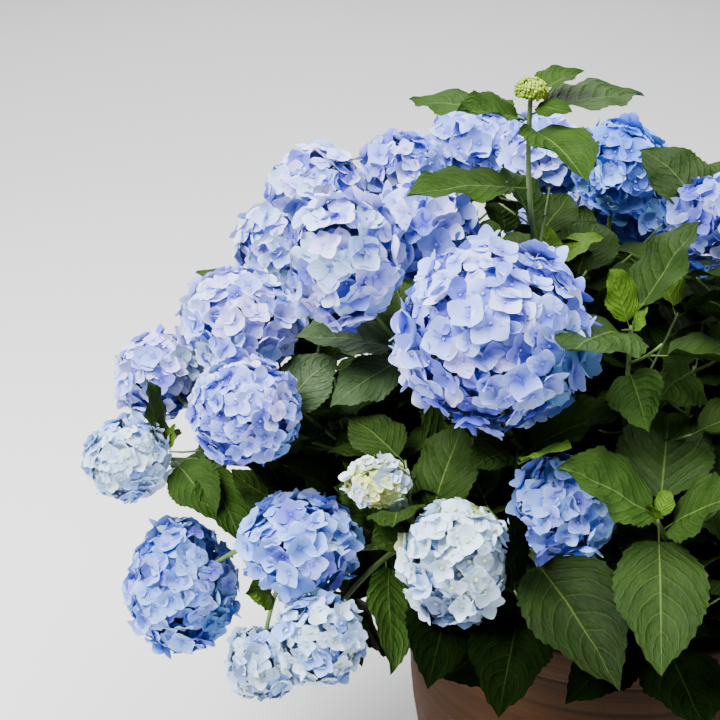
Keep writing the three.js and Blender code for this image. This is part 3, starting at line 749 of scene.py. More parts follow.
def hasRoom(owner, leaf, margin, crowded=False):
    # deep inside the crown, where it is crowded, a leaf only has to clear the pot and the blooms
    leaf["axes"] = leafFrame(leaf)
    whole, outline = bladeTree(leaf, 0)
    if any(point.z < leafRule["clearOfGround"] for point in outline):
        return False
    if not crowded:
        if room.met(whole, outline, lambda item: item[0] == owner):
            return False
        blade, points = bladeTree(leaf, leafRule["stalkShare"])
        if room.met(blade, points, lambda item: item[0] != owner or item[2]):
            return False
    elif room.met(whole, outline, lambda item: item[0] != "pot"):
        return False
    spots = [leafPoint(leaf, along / 6, across) for along in range(2, 7) for across in (-0.3, 0, 0.3)]
    return not any(inBall(spot, ball, margin) for spot in spots for ball in room.balls)


def takeLeaf(owner, leaf, kind):
    tree, points = bladeTree(leaf, 0)
    room.claim(owner, tree, points)
    leaf["kind"], leaf["owner"] = kind, owner
    leaves.append(leaf)


# the leaves that stand out take their room first, then each cane sets one pair in turn
waiting = [(cane["name"], leavesOf(cane, leafRule["seed"] + i)) for i, cane in enumerate(shrub)]
for name, rows in waiting:
    for leaf in [leaf for pair in rows for leaf in pair if "limits" not in leaf]:
        leaf["axes"] = leafFrame(leaf)
        takeLeaf(name, leaf, "standing")
        middle = leafPoint(leaf, leafRule["standingMiddle"], 0)
        room.sights.append((middle, leafRule["standingSight"] * leaf["length"]))
for turn in range(max(len(rows) for _, rows in waiting)):
    for name, rows in waiting:
        for leaf in rows[turn] if turn < len(rows) else []:
            if "limits" in leaf and hasRoom(name, leaf, 1) and fits(leaf):
                takeLeaf(name, leaf, "rule")
print("leaves by the rule:", len(leaves))


def stretchesOf(cane):
    # the stretch of each limb that bears side shoots
    found = [(cane["curve"], *shoots["onCane"], None)]
    for tip in cane["tips"]:
        bare = max(shoots["underBloom"] * tip["tall"], (tip["covered"] - shoots["pastCovered"]) * mm)
        found.append((tip["curve"], shoots["onTwig"], 1 - bare / lengthOf(tip["curve"]), tip))
    return found


def shootFrom(curve, at, turn, draw):
    first, along = bezier(curve, at), tangent(curve, at)
    out = Quaternion(along, radians(turn)) @ sideOf(along)
    size = shoots["length"] * (1 + spread(draw, shoots["lengthSpread"]))
    way = (along * shoots["forward"] + out).normalized()
    middle = first + way * (0.5 * size)
    return first, middle, middle + (way + up * shoots["rise"]).normalized() * (0.5 * size)


def growShoot(cane, tip, shoot, draw):
    points, faces, thick, thin = [], [], shoots["thick"], shoots["thin"]
    path = limbPath(shoot, shoots["clearFrom"], 1, thick, thin, shoots["roughSteps"])
    addTube(points, faces, path, shoots["roughSides"])
    tree = BVHTree.FromPolygons(points, faces)
    pairs = withLimits(pairsOn(shoot, shoots["leavesFrom"], shoots["pairs"], draw), limitsOf(cane, tip))
    if depthOf(shoot[2]) >= shoots["inside"] and room.met(tree, points, lambda item: item[2]):
        return
    if not inBox([shoot[2]]) or any(inBall(p, ball, 1) for p in points for ball in room.balls):
        return
    grown = False
    for leaf in [leaf for pair in pairs for leaf in pair]:
        crowded = depthOf(leaf["at"] + leaf["way"] * leaf["length"]) < shoots["inside"]
        if hasRoom(cane["name"], leaf, shoots["ballShare"], crowded) and fits(leaf):
            takeLeaf(cane["name"], leaf, "shoot")
            grown = True
    if grown:
        room.claim(cane["name"], tree, points, True)
        greenLimbs.append(limbPath(shoot, 0, 1, thick, thin, shoots["steps"]))


def growShoots(cane, seed):
    draw = seeded(seed)
    for curve, start, end, tip in stretchesOf(cane):
        count = int((end - start) * lengthOf(curve) / shoots["spacing"])
        for k in range(count):
            back = k + shoots["setBack"] + shoots["setBackSpread"] * draw()
            turn = shoots["turn"] * k + shoots["turnSpread"] * draw()
            growShoot(cane, tip, shootFrom(curve, end - back * (end - start) / count, turn, draw), draw)


for i, cane in enumerate(shrub):
    growShoots(cane, shoots["seed"] + i)
print("leaves in all:", len(leaves))

# the leaf: a blade with a toothed edge on a short stalk, one unit long
blade = {"stalk": 0.14, "stations": 14, "crowding": 1.05, "before": 0.74, "after": 1.02, "inner": 0.52,
         "tooth": 0.011, "toothAt": 0.72, "notch": 0.3, "lastTooth": 0.2, "wave": 0.02, "waves": 3.1,
         "arch": 0.16, "stalkWidth": 0.016, "stalkRings": ((0, 1.3), (0.5, 0.9), (1.12, 0.7)),
         "stalkSides": 3, "stalkDrop": 0.004, "ripple": 0.016, "rippleScale": 26.0,
         "curlAndFold": ((0.10, 0.20), (-0.12, 0.28), (0.22, 0.16), (0.0, 0.34), (-0.3, 0.24)),
         "seed": 40, "growSeed": 60}


def bladeHalf(share):
    # half of the blade's width as a share of the greatest width
    peak = blade["before"] / (blade["before"] + blade["after"])
    most = peak ** blade["before"] * (1 - peak) ** blade["after"]
    return 0.5 * max(share, 0) ** blade["before"] * max(1 - share, 0) ** blade["after"] / most


def addStalk(points, faces, marks):
    # flat sides from the twig to the foot of the blade
    rings, sides = [], blade["stalkSides"]
    for share, radius in blade["stalkRings"]:
        rings.append([len(points) + k for k in range(sides)])
        for k in range(sides):
            turn = 2 * pi * k / sides + pi / 2
            out = 0.5 * blade["stalkWidth"] * radius
            points.append((blade["stalk"] * share, out * cos(turn), out * sin(turn) - blade["stalkDrop"]))
            marks.append((0.03, 0.5 + 0.002 * k))
    for low, high in zip(rings, rings[1:]):
        for k in range(sides):
            n = (k + 1) % sides
            faces.append([low[k], high[k], high[n], low[n]])


def makeBlade(name, seed, curl, fold):
    draw = seeded(seed)
    width, stalk, count = leafRule["widthShare"], blade["stalk"], blade["stations"]
    phase = [2 * pi * draw(), 2 * pi * draw()]
    points, faces, marks = [], [], []

    def put(share, across, tooth=0.0):
        side = 1 if across > 0 else -1
        out = abs(across) * bladeHalf(share) * 2
        half = bladeHalf(share) * width * abs(across) + (tooth if across else 0)
        ripple = sin(blade["waves"] * 2 * pi * share + phase[0 if side > 0 else 1])
        height = width * (fold * out - blade["arch"] * out * out * out) + curl * (share - 0.5) ** 3
        height += blade["wave"] * ripple * abs(across) ** 2
        points.append((stalk + (1 - stalk) * share, side * half, height))
        marks.append((0.04 + 0.94 * share, 0.5 + 0.47 * across))
        return len(points) - 1
    shares = [(i / count) ** blade["crowding"] for i in range(count + 1)]
    rib = [put(share, 0) for share in shares]
    for side in (-1, 1):
        mid = [rib[0]] + [put(share, side * blade["inner"]) for share in shares[1:-1]] + [rib[-1]]
        edge = [rib[0]]
        for i in range(count):
            low, high = shares[i], shares[i + 1]
            if i:
                edge.append(put(low, side, -blade["notch"] * blade["tooth"]))
            tooth = blade["tooth"] * (1 if i < count - 1 else blade["lastTooth"])
            edge.append(put(low + blade["toothAt"] * (high - low), side, tooth))
        edge.append(rib[-1])
        for i in range(count):
            inner = [rib[i], rib[i + 1], mid[i + 1], mid[i]]
            outer = [mid[i], mid[i + 1], edge[2 * i + 2], edge[2 * i + 1], edge[2 * i]]
            for face in (inner, outer):
                # no corner twice where the blade ends in a point
                face = [p for k, p in enumerate(face) if p not in face[:k]]
                if len(face) > 2:
                    faces.append(face if side > 0 else face[::-1])
    addStalk(points, faces, marks)
    shape = markedShape(name, points, faces, marks)
    shape.data.attributes.new("along", "FLOAT", "POINT").data.foreach_set("value", [p[0] for p in points])
    return shape


bladeStock = stock("blades", [makeBlade(f"blade{i}", blade["seed"] + i, curl, fold)
                              for i, (curl, fold) in enumerate(blade["curlAndFold"])])


def leafTree():
    tree = Tree("leaves on twigs", Shapes="Collection", Finish="Material", Seed="Int", Ripple="Float")
    turned = tree.node("FunctionNodeAxesToRotation", {"primary_axis": "X", "secondary_axis": "Z"},
                       {0: tree.named("way"), 1: tree.named("face")})
    loose = tree.scatter(turned)
    along = tree.named("along", "FLOAT")
    drop = tree.maths("MULTIPLY", tree.maths("MULTIPLY", along, along), tree.named("droop", "FLOAT"))
    spots = tree.node("ShaderNodeTexNoise", {"noise_dimensions": "3D"},
                      {"Vector": tree.node("GeometryNodeInputPosition"), "Scale": blade["rippleScale"],
                       "Detail": 1.0})
    ripple = tree.maths("MULTIPLY", tree.maths("SUBTRACT", spots, 0.5), tree.start["Ripple"])
    lift = tree.maths("SUBTRACT", tree.maths("MULTIPLY", ripple, along), drop)
    offset = tree.node("ShaderNodeCombineXYZ", None, {2: lift})
    return tree.finish(tree.node("GeometryNodeSetPosition", None, {"Geometry": loose, "Offset": offset}))


# the rib and side veins of a leaf, in shares of its length and half width, and the net between them
veins = {"rib": 0.042, "ribTaper": 0.032, "sides": 7.8, "slant": 0.22, "curve": 0.24, "wander": 0.22,
         "netAlong": 3.2, "netAcross": 11, "otherHalf": 31, "relief": 0.62, "reliefHeight": 1.6 * mm}


def leafFinish(name, deep, light, vein, rough, gloss):
    finish = Finish(name, Roughness=rough, Specular_IOR_Level=gloss)
    u, v, _ = finish.parts(finish.node("ShaderNodeUVMap", {"uv_map": "OFBake"}))
    across = abs(v - 0.5) * 2
    rib = (across / (veins["rib"] - u * veins["ribTaper"])).ramp(0.3, 1.0, 1.0, 0.0)
    wander = finish.noise(finish.flat(u * 5, v * 4), 1.0, 2.0) - 0.5
    sweep = u - across * veins["slant"] - across * across * veins["curve"]
    sweep = sweep * veins["sides"] + wander * veins["wander"]
    phase = abs(sweep.maths("FRACT") - 0.5)
    fade = across.ramp(0.70, 0.95, 1.0, 0.0) * u.ramp(0.82, 0.95, 1.0, 0.0)
    side = phase.ramp(0.01, 0.06, 1.0, 0.0) * fade
    trough = phase.ramp(0.05, 0.26, 1.0, 0.0) * fade
    half = (v > 0.5) * veins["otherHalf"]
    cells = finish.flat(sweep * veins["netAlong"], across * veins["netAcross"] + half)
    net = finish.node("ShaderNodeTexVoronoi", {"feature": "SMOOTH_F1", "voronoi_dimensions": "2D"},
                      {"Vector": cells, "Scale": 1.0, "Smoothness": 0.4})
    pillow = net.ramp(0.10, 0.70, 1.0, 0.0)
    clouds = finish.noise(cells, 0.16, 3.0, 0.6).ramp(0.36, 0.66)
    shadow = tuple(0.5 * part for part in deep)
    tint = finish.mix(clouds * 0.8, deep, light)
    tint = finish.mix(pillow.ramp(0.0, 0.6, 1.0, 0.0) * 0.20, tint, shadow)
    tint = finish.mix(trough * 0.22, tint, shadow)
    tint = finish.mix(side * 0.24, tint, vein)
    tint = finish.mix(rib * 0.80, tint, vein)
    height = pillow * 0.34 + phase.ramp(0.0, 0.34) * 0.70 + across.ramp(0.0, 0.14) * 0.5
    return finish.dress(Base_Color=tint, Normal=finish.bump(height, veins["relief"], veins["reliefHeight"]))


# the colours of a leaf (deep, light and vein), its roughness and gloss, dark inside and fresh at the tips;
# the darker tones are painted shade and the lighter ones painted light
leafTones = {
    # painted shade: the darkest tone, for leaves deep in shadow
    "leaves_dark": ((0.002, 0.005, 0.001), (0.005, 0.010, 0.002), (0.014, 0.026, 0.005), 0.62, 0.0),
    "leaves_shade": ((0.008, 0.018, 0.003), (0.014, 0.030, 0.005), (0.06, 0.09, 0.018), 0.55, 0.05),
    "leaves_deep": ((0.016, 0.035, 0.005), (0.027, 0.056, 0.009), (0.10, 0.16, 0.03), 0.52, 0.06),
    "leaves_mid": ((0.019, 0.043, 0.006), (0.031, 0.065, 0.010), (0.11, 0.18, 0.035), 0.46, 0.12),
    "leaves_fresh": ((0.020, 0.048, 0.006), (0.034, 0.073, 0.010), (0.12, 0.20, 0.040), 0.52, 0.04),
    # painted light: a lighter tone for leaves that sit in shade
    "leaves_light": ((0.028, 0.064, 0.009), (0.046, 0.098, 0.015), (0.13, 0.21, 0.045), 0.52, 0.05),
    # painted reflection: a lighter, greyer tone for the sheen of the sky on a leaf
    "leaves_silver": ((0.036, 0.070, 0.022), (0.060, 0.106, 0.038), (0.16, 0.24, 0.08), 0.44, 0.16),
    "leaves_young": ((0.075, 0.165, 0.010), (0.125, 0.225, 0.020), (0.22, 0.33, 0.07), 0.50, 0.12),
}
# how the tones are dealt out by depth in the crown, darker deeper inside as painted shade: each goes up to
# its own depth
dealing = {"seed": 31, "chance": 0.45,
           "depths": {"leaves_shade": 0.85, "leaves_deep": 1.25, "leaves_mid": 1.68},
           "standingOut": 1.05, "standingOutMore": 0.25, "darkBelow": 440 * mm, "darkest": 1.05,
           "shaded": "low_leafy", "youngLength": 85 * mm, "youngRise": 0.6, "slim": 0.92, "broad": 0.16}


def toneOfLeaf(leaf, draw):
    # the leaves of the shaded cane all take the darkest tone: painted shade
    if leaf["owner"] == dealing["shaded"]:
        return "leaves_dark"
    if leaf["length"] < dealing["youngLength"] and leaf["way"].z > dealing["youngRise"]:
        return "leaves_young"
    share = depthOf(leafPoint(leaf, 0.8, 0)) + dealing["chance"] * draw()
    if leaf.get("tone"):
        return leaf["tone"]
    # leaves that stand out are dealt lighter tones: painted light
    if leaf["kind"] == "standing":
        share = max(share, dealing["standingOut"]) + dealing["standingOutMore"]
    # leaves that hang low are dealt darker tones: painted shade from the foliage above
    if leafPoint(leaf, 0.7, 0).z < dealing["darkBelow"]:
        share = min(share, dealing["darkest"])
    return next((tone for tone, depth in dealing["depths"].items() if share < depth), "leaves_fresh")


draw = seeded(dealing["seed"])
dealt = {name: [] for name in leafTones}
for leaf in leaves:
    way, face, _ = leaf["axes"]
    length = leaf["length"]
    dealt[toneOfLeaf(leaf, draw)].append({
        "at": leaf["at"], "way": way, "face": face, "droop": leaf["droop"] * length,
        "size": (length, length * (dealing["slim"] + dealing["broad"] * draw()), length)})
growLeaves = leafTree()
leafPieces = []
for i, (name, tone) in enumerate(leafTones.items()):
    finish = leafFinish(name, *tone)
    leafPieces.append(settle(name, dealt[name], growLeaves, Shapes=bladeStock, Finish=finish,
                             Seed=blade["growSeed"] + i, Ripple=blade["ripple"]))
    print(name, len(dealt[name]))

# blooms: florets of four sepals on fine stalks round a small dark core of painted shade
floret = {"sepals": 4, "rows": (0.0, 0.24, 0.50, 0.74, 0.92, 1.0), "width": 1.12, "roundness": 0.70,
          "ends": 0.06, "fullness": 0.85, "middle": 0.02, "notch": 0.09, "hollow": 0.22, "crimp": 0.02,
          "lift": 0.012, "turnSpread": 0.12, "lengthSpread": 0.22, "widthSpread": 0.2, "cupSpread": 0.8,
          "riseSpread": 0.22, "twistSpread": 0.34, "cups": (0.05, 0.26, -0.14, 0.55, 0.14), "seed": 70}
# each layer of a bloom: its spacing in florets, its share of the radius and whether it lies inside; heart
# sizes the dark core of painted shade
bloom = {"layers": ((0.60, 0.87, False), (0.92, 0.75, True)), "openAngle": 0.965, "shift": 0.6, "power": 1.6,
         "rough": 0.05, "lump": 0.07, "lumps": 1.9, "ruffle": 0.05, "ruffles": 2.7, "apart": 7.1,
         "sizeSpread": 0.22, "sunkBelow": 0.81, "sunkMore": 0.08, "sink": 0.10, "heart": 0.60,
         "stalkFrom": 0.6, "stalkFoot": 0.9 * mm, "stalkTip": 0.7 * mm, "stalkSides": 3,
         "bead": 0.055, "paleBead": 0.10, "beadLift": 0.02, "tilt": 0.50, "tealFrom": 0.55, "tealBelow": 0.3,
         "tealShare": 0.5, "openShare": 0.12, "seed": 210, "growSeed": 300}


def makeFloret(name, seed, cup):
    draw = seeded(seed)
    points, faces, marks = [], [], []

    def near(value, amount):
        return value + amount * (draw() - 0.5)
    for s in range(floret["sepals"]):
        turn = 2 * pi * near(s, floret["turnSpread"]) / floret["sepals"]
        length = 0.5 * near(1, floret["lengthSpread"])
        width = floret["width"] * 0.5 * near(1, floret["widthSpread"])
        rise = near(cup * near(1, floret["cupSpread"]), floret["riseSpread"])
        twist = near(0, floret["twistSpread"])
        grid = []
        for row in floret["rows"]:
            bow = floret["ends"] + (1 - 2 * floret["ends"]) * row ** floret["fullness"]
            wide = 0.5 * width * sin(pi * bow) ** floret["roundness"]
            line = []
            for across in (-1, 0, 1):
                x = length * (row - floret["notch"] * abs(across) * row ** 3) + floret["middle"]
                y = across * wide
                z = floret["lift"] * (s % 2) + rise * row * row * 0.5 + twist * y * row
                z += floret["hollow"] * wide * across * across
                z += floret["crimp"] * sin(7 * row + 3 * across + 1.2 * draw())
                line.append(len(points))
                points.append((x * cos(turn) - y * sin(turn), x * sin(turn) + y * cos(turn), z))
                marks.append((0.03 + 0.94 * row, 0.5 + 0.45 * across * (wide / (0.5 * width))))
            grid.append(line)
        for low, high in zip(grid, grid[1:]):
            for k in range(2):
                faces.append([low[k], high[k], high[k + 1], low[k + 1]])
    return markedShape(name, points, faces, marks)


floretStock = stock("florets", [makeFloret(f"floret{i}", floret["seed"] + i, cup)
                                for i, cup in enumerate(floret["cups"])])


def floretTree():
    tree = Tree("florets round a bloom", Shapes="Collection", Finish="Material", Seed="Int", Tilt="Float")
    out = tree.node("FunctionNodeAlignRotationToVector", {"axis": "Z"}, {"Vector": tree.named("way")})
    halfTurn, tilt = 3.14, tree.start["Tilt"]
    back = tree.maths("MULTIPLY", tilt, -1.0)
    least = tree.node("ShaderNodeCombineXYZ", None, {0: back, 1: back, 2: -halfTurn})
    most = tree.node("ShaderNodeCombineXYZ", None, {0: tilt, 1: tilt, 2: halfTurn})
    lean = tree.random(least, most, "FLOAT_VECTOR")
    turn = tree.node("FunctionNodeEulerToRotation", None, {0: lean})
    spun = tree.node("FunctionNodeRotateRotation", {"rotation_space": "LOCAL"},
                     {"Rotation": out, "Rotate By": turn})
    return tree.finish(tree.scatter(spun))


def sepalFinish(name, heart, body, edge):
    finish = Finish(name, Roughness=0.70, Specular_IOR_Level=0.08)
    u, v, _ = finish.parts(finish.node("ShaderNodeUVMap", {"uv_map": "OFBake"}))
    across = abs(v - 0.5) * 2
    lines = finish.noise(finish.flat(u * 3, v * 9), 1.6, 2.0, 0.6)
    fan = abs((v * 9).maths("FRACT") - 0.5).ramp(0.0, 0.12, 1.0, 0.0)
    fan = fan * u.ramp(0.05, 0.3) * u.ramp(0.6, 0.95, 1.0, 0.0)
    # painted highlight: the rim of each sepal is lightened towards its edge colour, as if lit from behind
    rim = u.ramp(0.84, 0.99).maths("MAXIMUM", across.ramp(0.74, 0.95))
    tint = finish.mix(u.ramp(0.02, 0.46), heart, body)
    tint = finish.mix(u.ramp(0.45, 1.0) * 0.25, tint, edge)
    tint = finish.mix(fan * 0.22, tint, heart)
    tint = finish.mix(lines.ramp(0.45, 0.75) * 0.14, tint, heart)
    tint = finish.mix(rim * 0.72, tint, edge)
    height = fan * -0.5 + lines * 0.6 + rim * 0.3
    return finish.dress(Base_Color=tint, Normal=finish.bump(height, 0.4, 0.9 * mm))


# the colours of a sepal: at its heart, over its body and at its edge
sepalTones = {
    "sepals_blue": ((0.12, 0.15, 0.70), (0.34, 0.44, 0.98), (0.68, 0.77, 1.0)),
    "sepals_sky": ((0.10, 0.20, 0.68), (0.28, 0.46, 1.0), (0.60, 0.75, 1.0)),
    "sepals_violet": ((0.05, 0.05, 0.42), (0.16, 0.19, 0.74), (0.34, 0.41, 0.93)),
    "sepals_lilac": ((0.26, 0.24, 0.78), (0.57, 0.59, 1.0), (0.86, 0.88, 1.0)),
    "sepals_pale": ((0.36, 0.52, 0.80), (0.51, 0.71, 1.0), (0.82, 0.91, 1.0)),
    "sepals_white": ((0.52, 0.66, 0.64), (0.64, 0.81, 1.0), (0.88, 0.95, 1.0)),
    # painted shade: a grey tone for the sunk sepals of pale and white blooms
    "sepals_dusk": ((0.14, 0.19, 0.34), (0.22, 0.30, 0.50), (0.38, 0.48, 0.72)),
    "sepals_teal": ((0.05, 0.16, 0.42), (0.15, 0.33, 0.68), (0.32, 0.54, 0.84)),
    "sepals_deep": ((0.03, 0.07, 0.42), (0.12, 0.22, 0.76), (0.28, 0.42, 0.94)),
    "sepals_cream": ((0.42, 0.52, 0.10), (0.74, 0.80, 0.30), (0.92, 0.94, 0.66)),
}
# the sepals that sit deep between the others, in darker tones: painted shade in the crevices of a bloom
sunkTones = {"blue": "sepals_violet", "sky": "sepals_deep", "lilac": "sepals_violet", "pale": "sepals_dusk",
             "white": "sepals_dusk", "deep": "sepals_deep", "cream": "sepals_cream"}
# which sepals a bloom has, and how many parts of each
bloomMixes = {
    "blue": [("sepals_blue", 10), ("sepals_violet", 3), ("sepals_lilac", 4)],
    "sky": [("sepals_sky", 10), ("sepals_blue", 5), ("sepals_pale", 1), ("sepals_violet", 2)],
    "lilac": [("sepals_lilac", 11), ("sepals_blue", 3), ("sepals_violet", 1), ("sepals_pale", 3)],
    "pale": [("sepals_pale", 10), ("sepals_white", 5), ("sepals_sky", 2)],
    "white": [("sepals_white", 10), ("sepals_pale", 5), ("sepals_cream", 1)],
    "deep": [("sepals_deep", 9), ("sepals_teal", 3), ("sepals_sky", 2)],
    "cream": [("sepals_cream", 10), ("sepals_white", 1)],
}


def spiral(count):
    golden = pi * (3 - sqrt(5))
    for i in range(count):
        height = 1 - 2 * (i + 0.5) / count
        radius = sqrt(1 - height * height)
        yield Vector((radius * cos(golden * i), radius * sin(golden * i), height))


def pick(mix, draw):
    left = draw() * sum(parts for _, parts in mix)
    for name, parts in mix:
        left -= parts
        if left <= 0:
            return name
    return mix[-1][0]


sepalRows = {name: [] for name in sepalTones}
beadRows = {"floret_eyes": [], "floret_eyes_cream": [], "flower_buds": []}
stalkPaths, shadeCores = [], []


def stretched(ray, radii):
    return Vector(ray[i] * radii[i] for i in range(3))


def growBud(tip, radii, down, turnAll, draw):
    # beads all round, apart from where the twig comes in
    for ray in spiral(bud["beads"]):
        ray = turnAll @ ray
        if ray.dot(down) < bud["openAngle"]:
            place = tip["at"] + stretched(ray, radii) * (bud["innermost"] + bud["depth"] * draw())
            size = bud["bead"] + bud["beadSpread"] * draw()
            beadRows["flower_buds"].append({"at": place, "way": ray, "size": (size, size, size)})
    shadeCores.append((tip["at"], radii * bud["heart"]))


def toneOfSepal(kind, ray, sunk, draw):
    # sunk florets take the darker sunk tones as painted shade, and on the lower right of blue and sky blooms
    # some take teal as painted shade
    tone = sunkTones[kind] if sunk else pick(bloomMixes[kind], draw)
    shaded = kind in ("blue", "sky") and ray.x > bloom["tealFrom"] and ray.z < bloom["tealBelow"]
    return "sepals_teal" if shaded and draw() < bloom["tealShare"] else tone


def growFloret(tip, ray, radii, share, wide, tone):
    middle, pale = tip["at"], tip["tone"] in ("pale", "white", "cream")
    place = middle + stretched(ray, radii) * share - ray * (bloom["sink"] * wide)
    out = Vector(ray[i] / radii[i] for i in range(3)).normalized()
    sepalRows[tone].append({"at": place, "way": out, "size": (wide, wide, wide)})
    eye = bloom["paleBead" if pale else "bead"] * wide
    beadRows["floret_eyes_cream" if pale else "floret_eyes"].append({
        "at": place + out * (bloom["beadLift"] * wide), "way": out, "size": (eye, eye, eye)})
    root = middle + stretched(ray, radii) * bloom["stalkFrom"]
    stalkPaths.append([(root, bloom["stalkFoot"]), (place, bloom["stalkTip"])])


def growBloom(tip, number, radii, down, turnAll, draw):
    # an outer layer of florets and a sunk one that shows between them
    size, power = tip["floret"], bloom["power"]
    area = 4 * pi * (((radii.x * radii.y) ** power + 2 * (radii.x * radii.z) ** power) / 3) ** (1 / power)
    shadeCores.append((tip["at"], radii * bloom["heart"]))
    for spacing, sink, inner in bloom["layers"]:
        count = int(area * sink * sink / (spacing * size) ** 2)
        for ray in spiral(count):
            shift = Vector([spread(draw, 1) for _ in range(3)]) * (bloom["shift"] / sqrt(count))
            ray = (turnAll @ ray + shift).normalized()
            if ray.dot(down) > bloom["openAngle"]:
                continue
            start = ray * bloom["lumps"] + Vector((bloom["apart"] * number, 0, 0))
            share = (sink + spread(draw, bloom["rough"]) + bloom["lump"] * noise.noise(start)
                     + bloom["ruffle"] * noise.noise(start * bloom["ruffles"]))
            wide = size * (1 + spread(draw, bloom["sizeSpread"]))
            # the inner layer and florets sunk below the rest take the sunk tones, more of them low on the
            # bloom: painted shade between the florets and on the underside
            sunk = inner or share < bloom["sunkBelow"] - bloom["sunkMore"] * ray.z
            tone = toneOfSepal(tip["tone"], ray, sunk, draw)
            if tip["tone"] == "cream" and draw() < bloom["openShare"]:
                wide, tone = 2 * wide, "sepals_white"  # some florets are open already
            growFloret(tip, ray, radii, share, wide, tone)


for number, tip in enumerate([tip for cane in shrub for tip in cane["tips"]], 1):
    if tip["leafy"]:
        continue
    draw = seeded(bloom["seed"] + number)
    radii = Vector((tip["across"], tip["across"], tip["tall"])) / 2
    down = -tangent(tip["curve"], 1)
    turnAll = Quaternion(Vector([draw() - 0.5 for _ in range(3)]).normalized(), 6 * draw())
    if tip["tone"] == "bud":
        growBud(tip, radii, down, turnAll, draw)
    else:
        growBloom(tip, number, radii, down, turnAll, draw)
growFlorets = floretTree()
bloomPieces = []
for i, (name, tone) in enumerate(sepalTones.items()):
    bloomPieces.append(settle(name, sepalRows[name], growFlorets, Shapes=floretStock, Tilt=bloom["tilt"],
                              Finish=sepalFinish(name, *tone), Seed=bloom["growSeed"] + i))
    print(name, len(sepalRows[name]), "florets")

# the eye of each floret and the beads of the green buds
bead = {"sides": 5, "radius": 0.8, "foot": -0.8, "shoulder": 0.55, "kinds": 5, "tilt": 0.2, "growSeed": 400}
beadTones = {"floret_eyes": ((0.20, 0.19, 0.62), (0.36, 0.36, 0.80)),
             "floret_eyes_cream": ((0.60, 0.66, 0.40), (0.80, 0.84, 0.62)),
             "flower_buds": ((0.20, 0.32, 0.012), (0.38, 0.50, 0.030))}


def makeBead(name):
    sides, radius = bead["sides"], bead["radius"]
    points, faces = [(0, 0, bead["foot"])], []
    for height in (0.0, bead["shoulder"]):
        points += [(cos(2 * pi * k / sides) * radius, sin(2 * pi * k / sides) * radius, height)
                   for k in range(sides)]
    points.append((0, 0, 1.0))
    for k in range(sides):
        n = (k + 1) % sides
        low, high = (1 + k, 1 + n), (1 + sides + n, 1 + sides + k)
        faces += [(0, 1 + n, 1 + k), low + high, (1 + sides + k, 1 + sides + n, 2 * sides + 1)]
    return bpy.data.objects.new(name, meshOf(name, points, faces))


def plainFinish(name, first, second, scale, rough):
    finish = Finish(name, Roughness=rough)
    place = finish.place()
    cloud = finish.noise(place, scale, 3.0, 0.6)
    return finish.dress(Base_Color=finish.mix(cloud.ramp(0.35, 0.65), first, second),
                        Normal=finish.bump(finish.noise(place, scale * 4, 2.0), 0.4, 0.6 * mm))


beadStock = stock("beads", [makeBead(f"bead{i}") for i in range(bead["kinds"])])
for i, (name, tones) in enumerate(beadTones.items()):
    bloomPieces.append(settle(name, beadRows[name], growFlorets, Shapes=beadStock, Tilt=bead["tilt"],
                              Finish=plainFinish(name, *tones, 60.0, 0.5), Seed=bead["growSeed"] + i))

# the stalks of the florets, and the dark ball in the middle of a bloom, which is painted shade between the
# florets
shadeCore = {"rings": 5, "sides": 10}


def stalkMesh():
    points, faces = [], []
    for path in stalkPaths:
        addTube(points, faces, path, bloom["stalkSides"])
    return meshOf("floret_stalks", points, faces)


def addShadeCore(points, faces, middle, radii):
    base, rings, sides = len(points), shadeCore["rings"], shadeCore["sides"]
    for i in range(1, rings):
        low = pi * i / rings
        for k in range(sides):
            turn = 2 * pi * k / sides
            points.append(middle + Vector((radii.x * sin(low) * cos(turn), radii.y * sin(low) * sin(turn),
                                           radii.z * cos(low))))
    bottom, top = len(points), len(points) + 1
    points += [middle - Vector((0, 0, radii.z)), middle + Vector((0, 0, radii.z))]
    last = base + (rings - 2) * sides
    for k in range(sides):
        n = (k + 1) % sides
        for a in range(base, last, sides):
            faces.append((a + k, a + sides + k, a + sides + n, a + n))
        faces.append((top, base + k, base + n))
        faces.append((bottom, last + n, last + k))


def shadeCoreMesh():
    points, faces = [], []
    for middle, radii in shadeCores:
        addShadeCore(points, faces, middle, radii)
    return meshOf("bloom_hearts", points, faces)


bloomPieces.append(addPiece("floret_stalks", stalkMesh(),
                            plainFinish("floret stalks", (0.20, 0.30, 0.32), (0.30, 0.38, 0.50), 30.0, 0.6)))
bloomPieces.append(addPiece("bloom_hearts", shadeCoreMesh(),
                            plainFinish("bloom shade cores", (0.05, 0.07, 0.22), (0.10, 0.14, 0.34), 40.0, 0.8)))
print("blooms grown")

# canes with furrowed bark and a swelling at each joint of the growth
bark = {"sides": 14, "step": 7 * mm, "flare": 1.5, "flareHeight": 20 * mm, "foot": 4 * mm, "swell": 0.32,
        "swellHalf": 6 * mm, "nodeSpacing": 46 * mm, "nodeShift": 12 * mm, "furrow": 0.20,
        "furrowsAcross": 420, "furrowsAlong": 26, "apart": 3}


def canePath(i, cane):
    length = lengthOf(cane["curve"]) * wood["massStart"]
    steps = int(length / bark["step"]) + 2
    path = []
    for k in range(steps + 1):
        share = k / steps
        gone = share * length
        fromNode = abs((gone + bark["nodeShift"] * i) % bark["nodeSpacing"] - bark["nodeSpacing"] / 2)
        radius = wood["caneRadius"] + (wood["stemRadius"] - wood["caneRadius"]) * share
        radius *= 1 + bark["swell"] * max(0, 1 - fromNode / bark["swellHalf"])
        radius *= 1 + (bark["flare"] - 1) * max(0, 1 - gone / bark["flareHeight"])
        sunk = bark["foot"] if k == 0 else 0
        path.append((bezier(cane["curve"], wood["massStart"] * share) - up * sunk, radius))
    return path


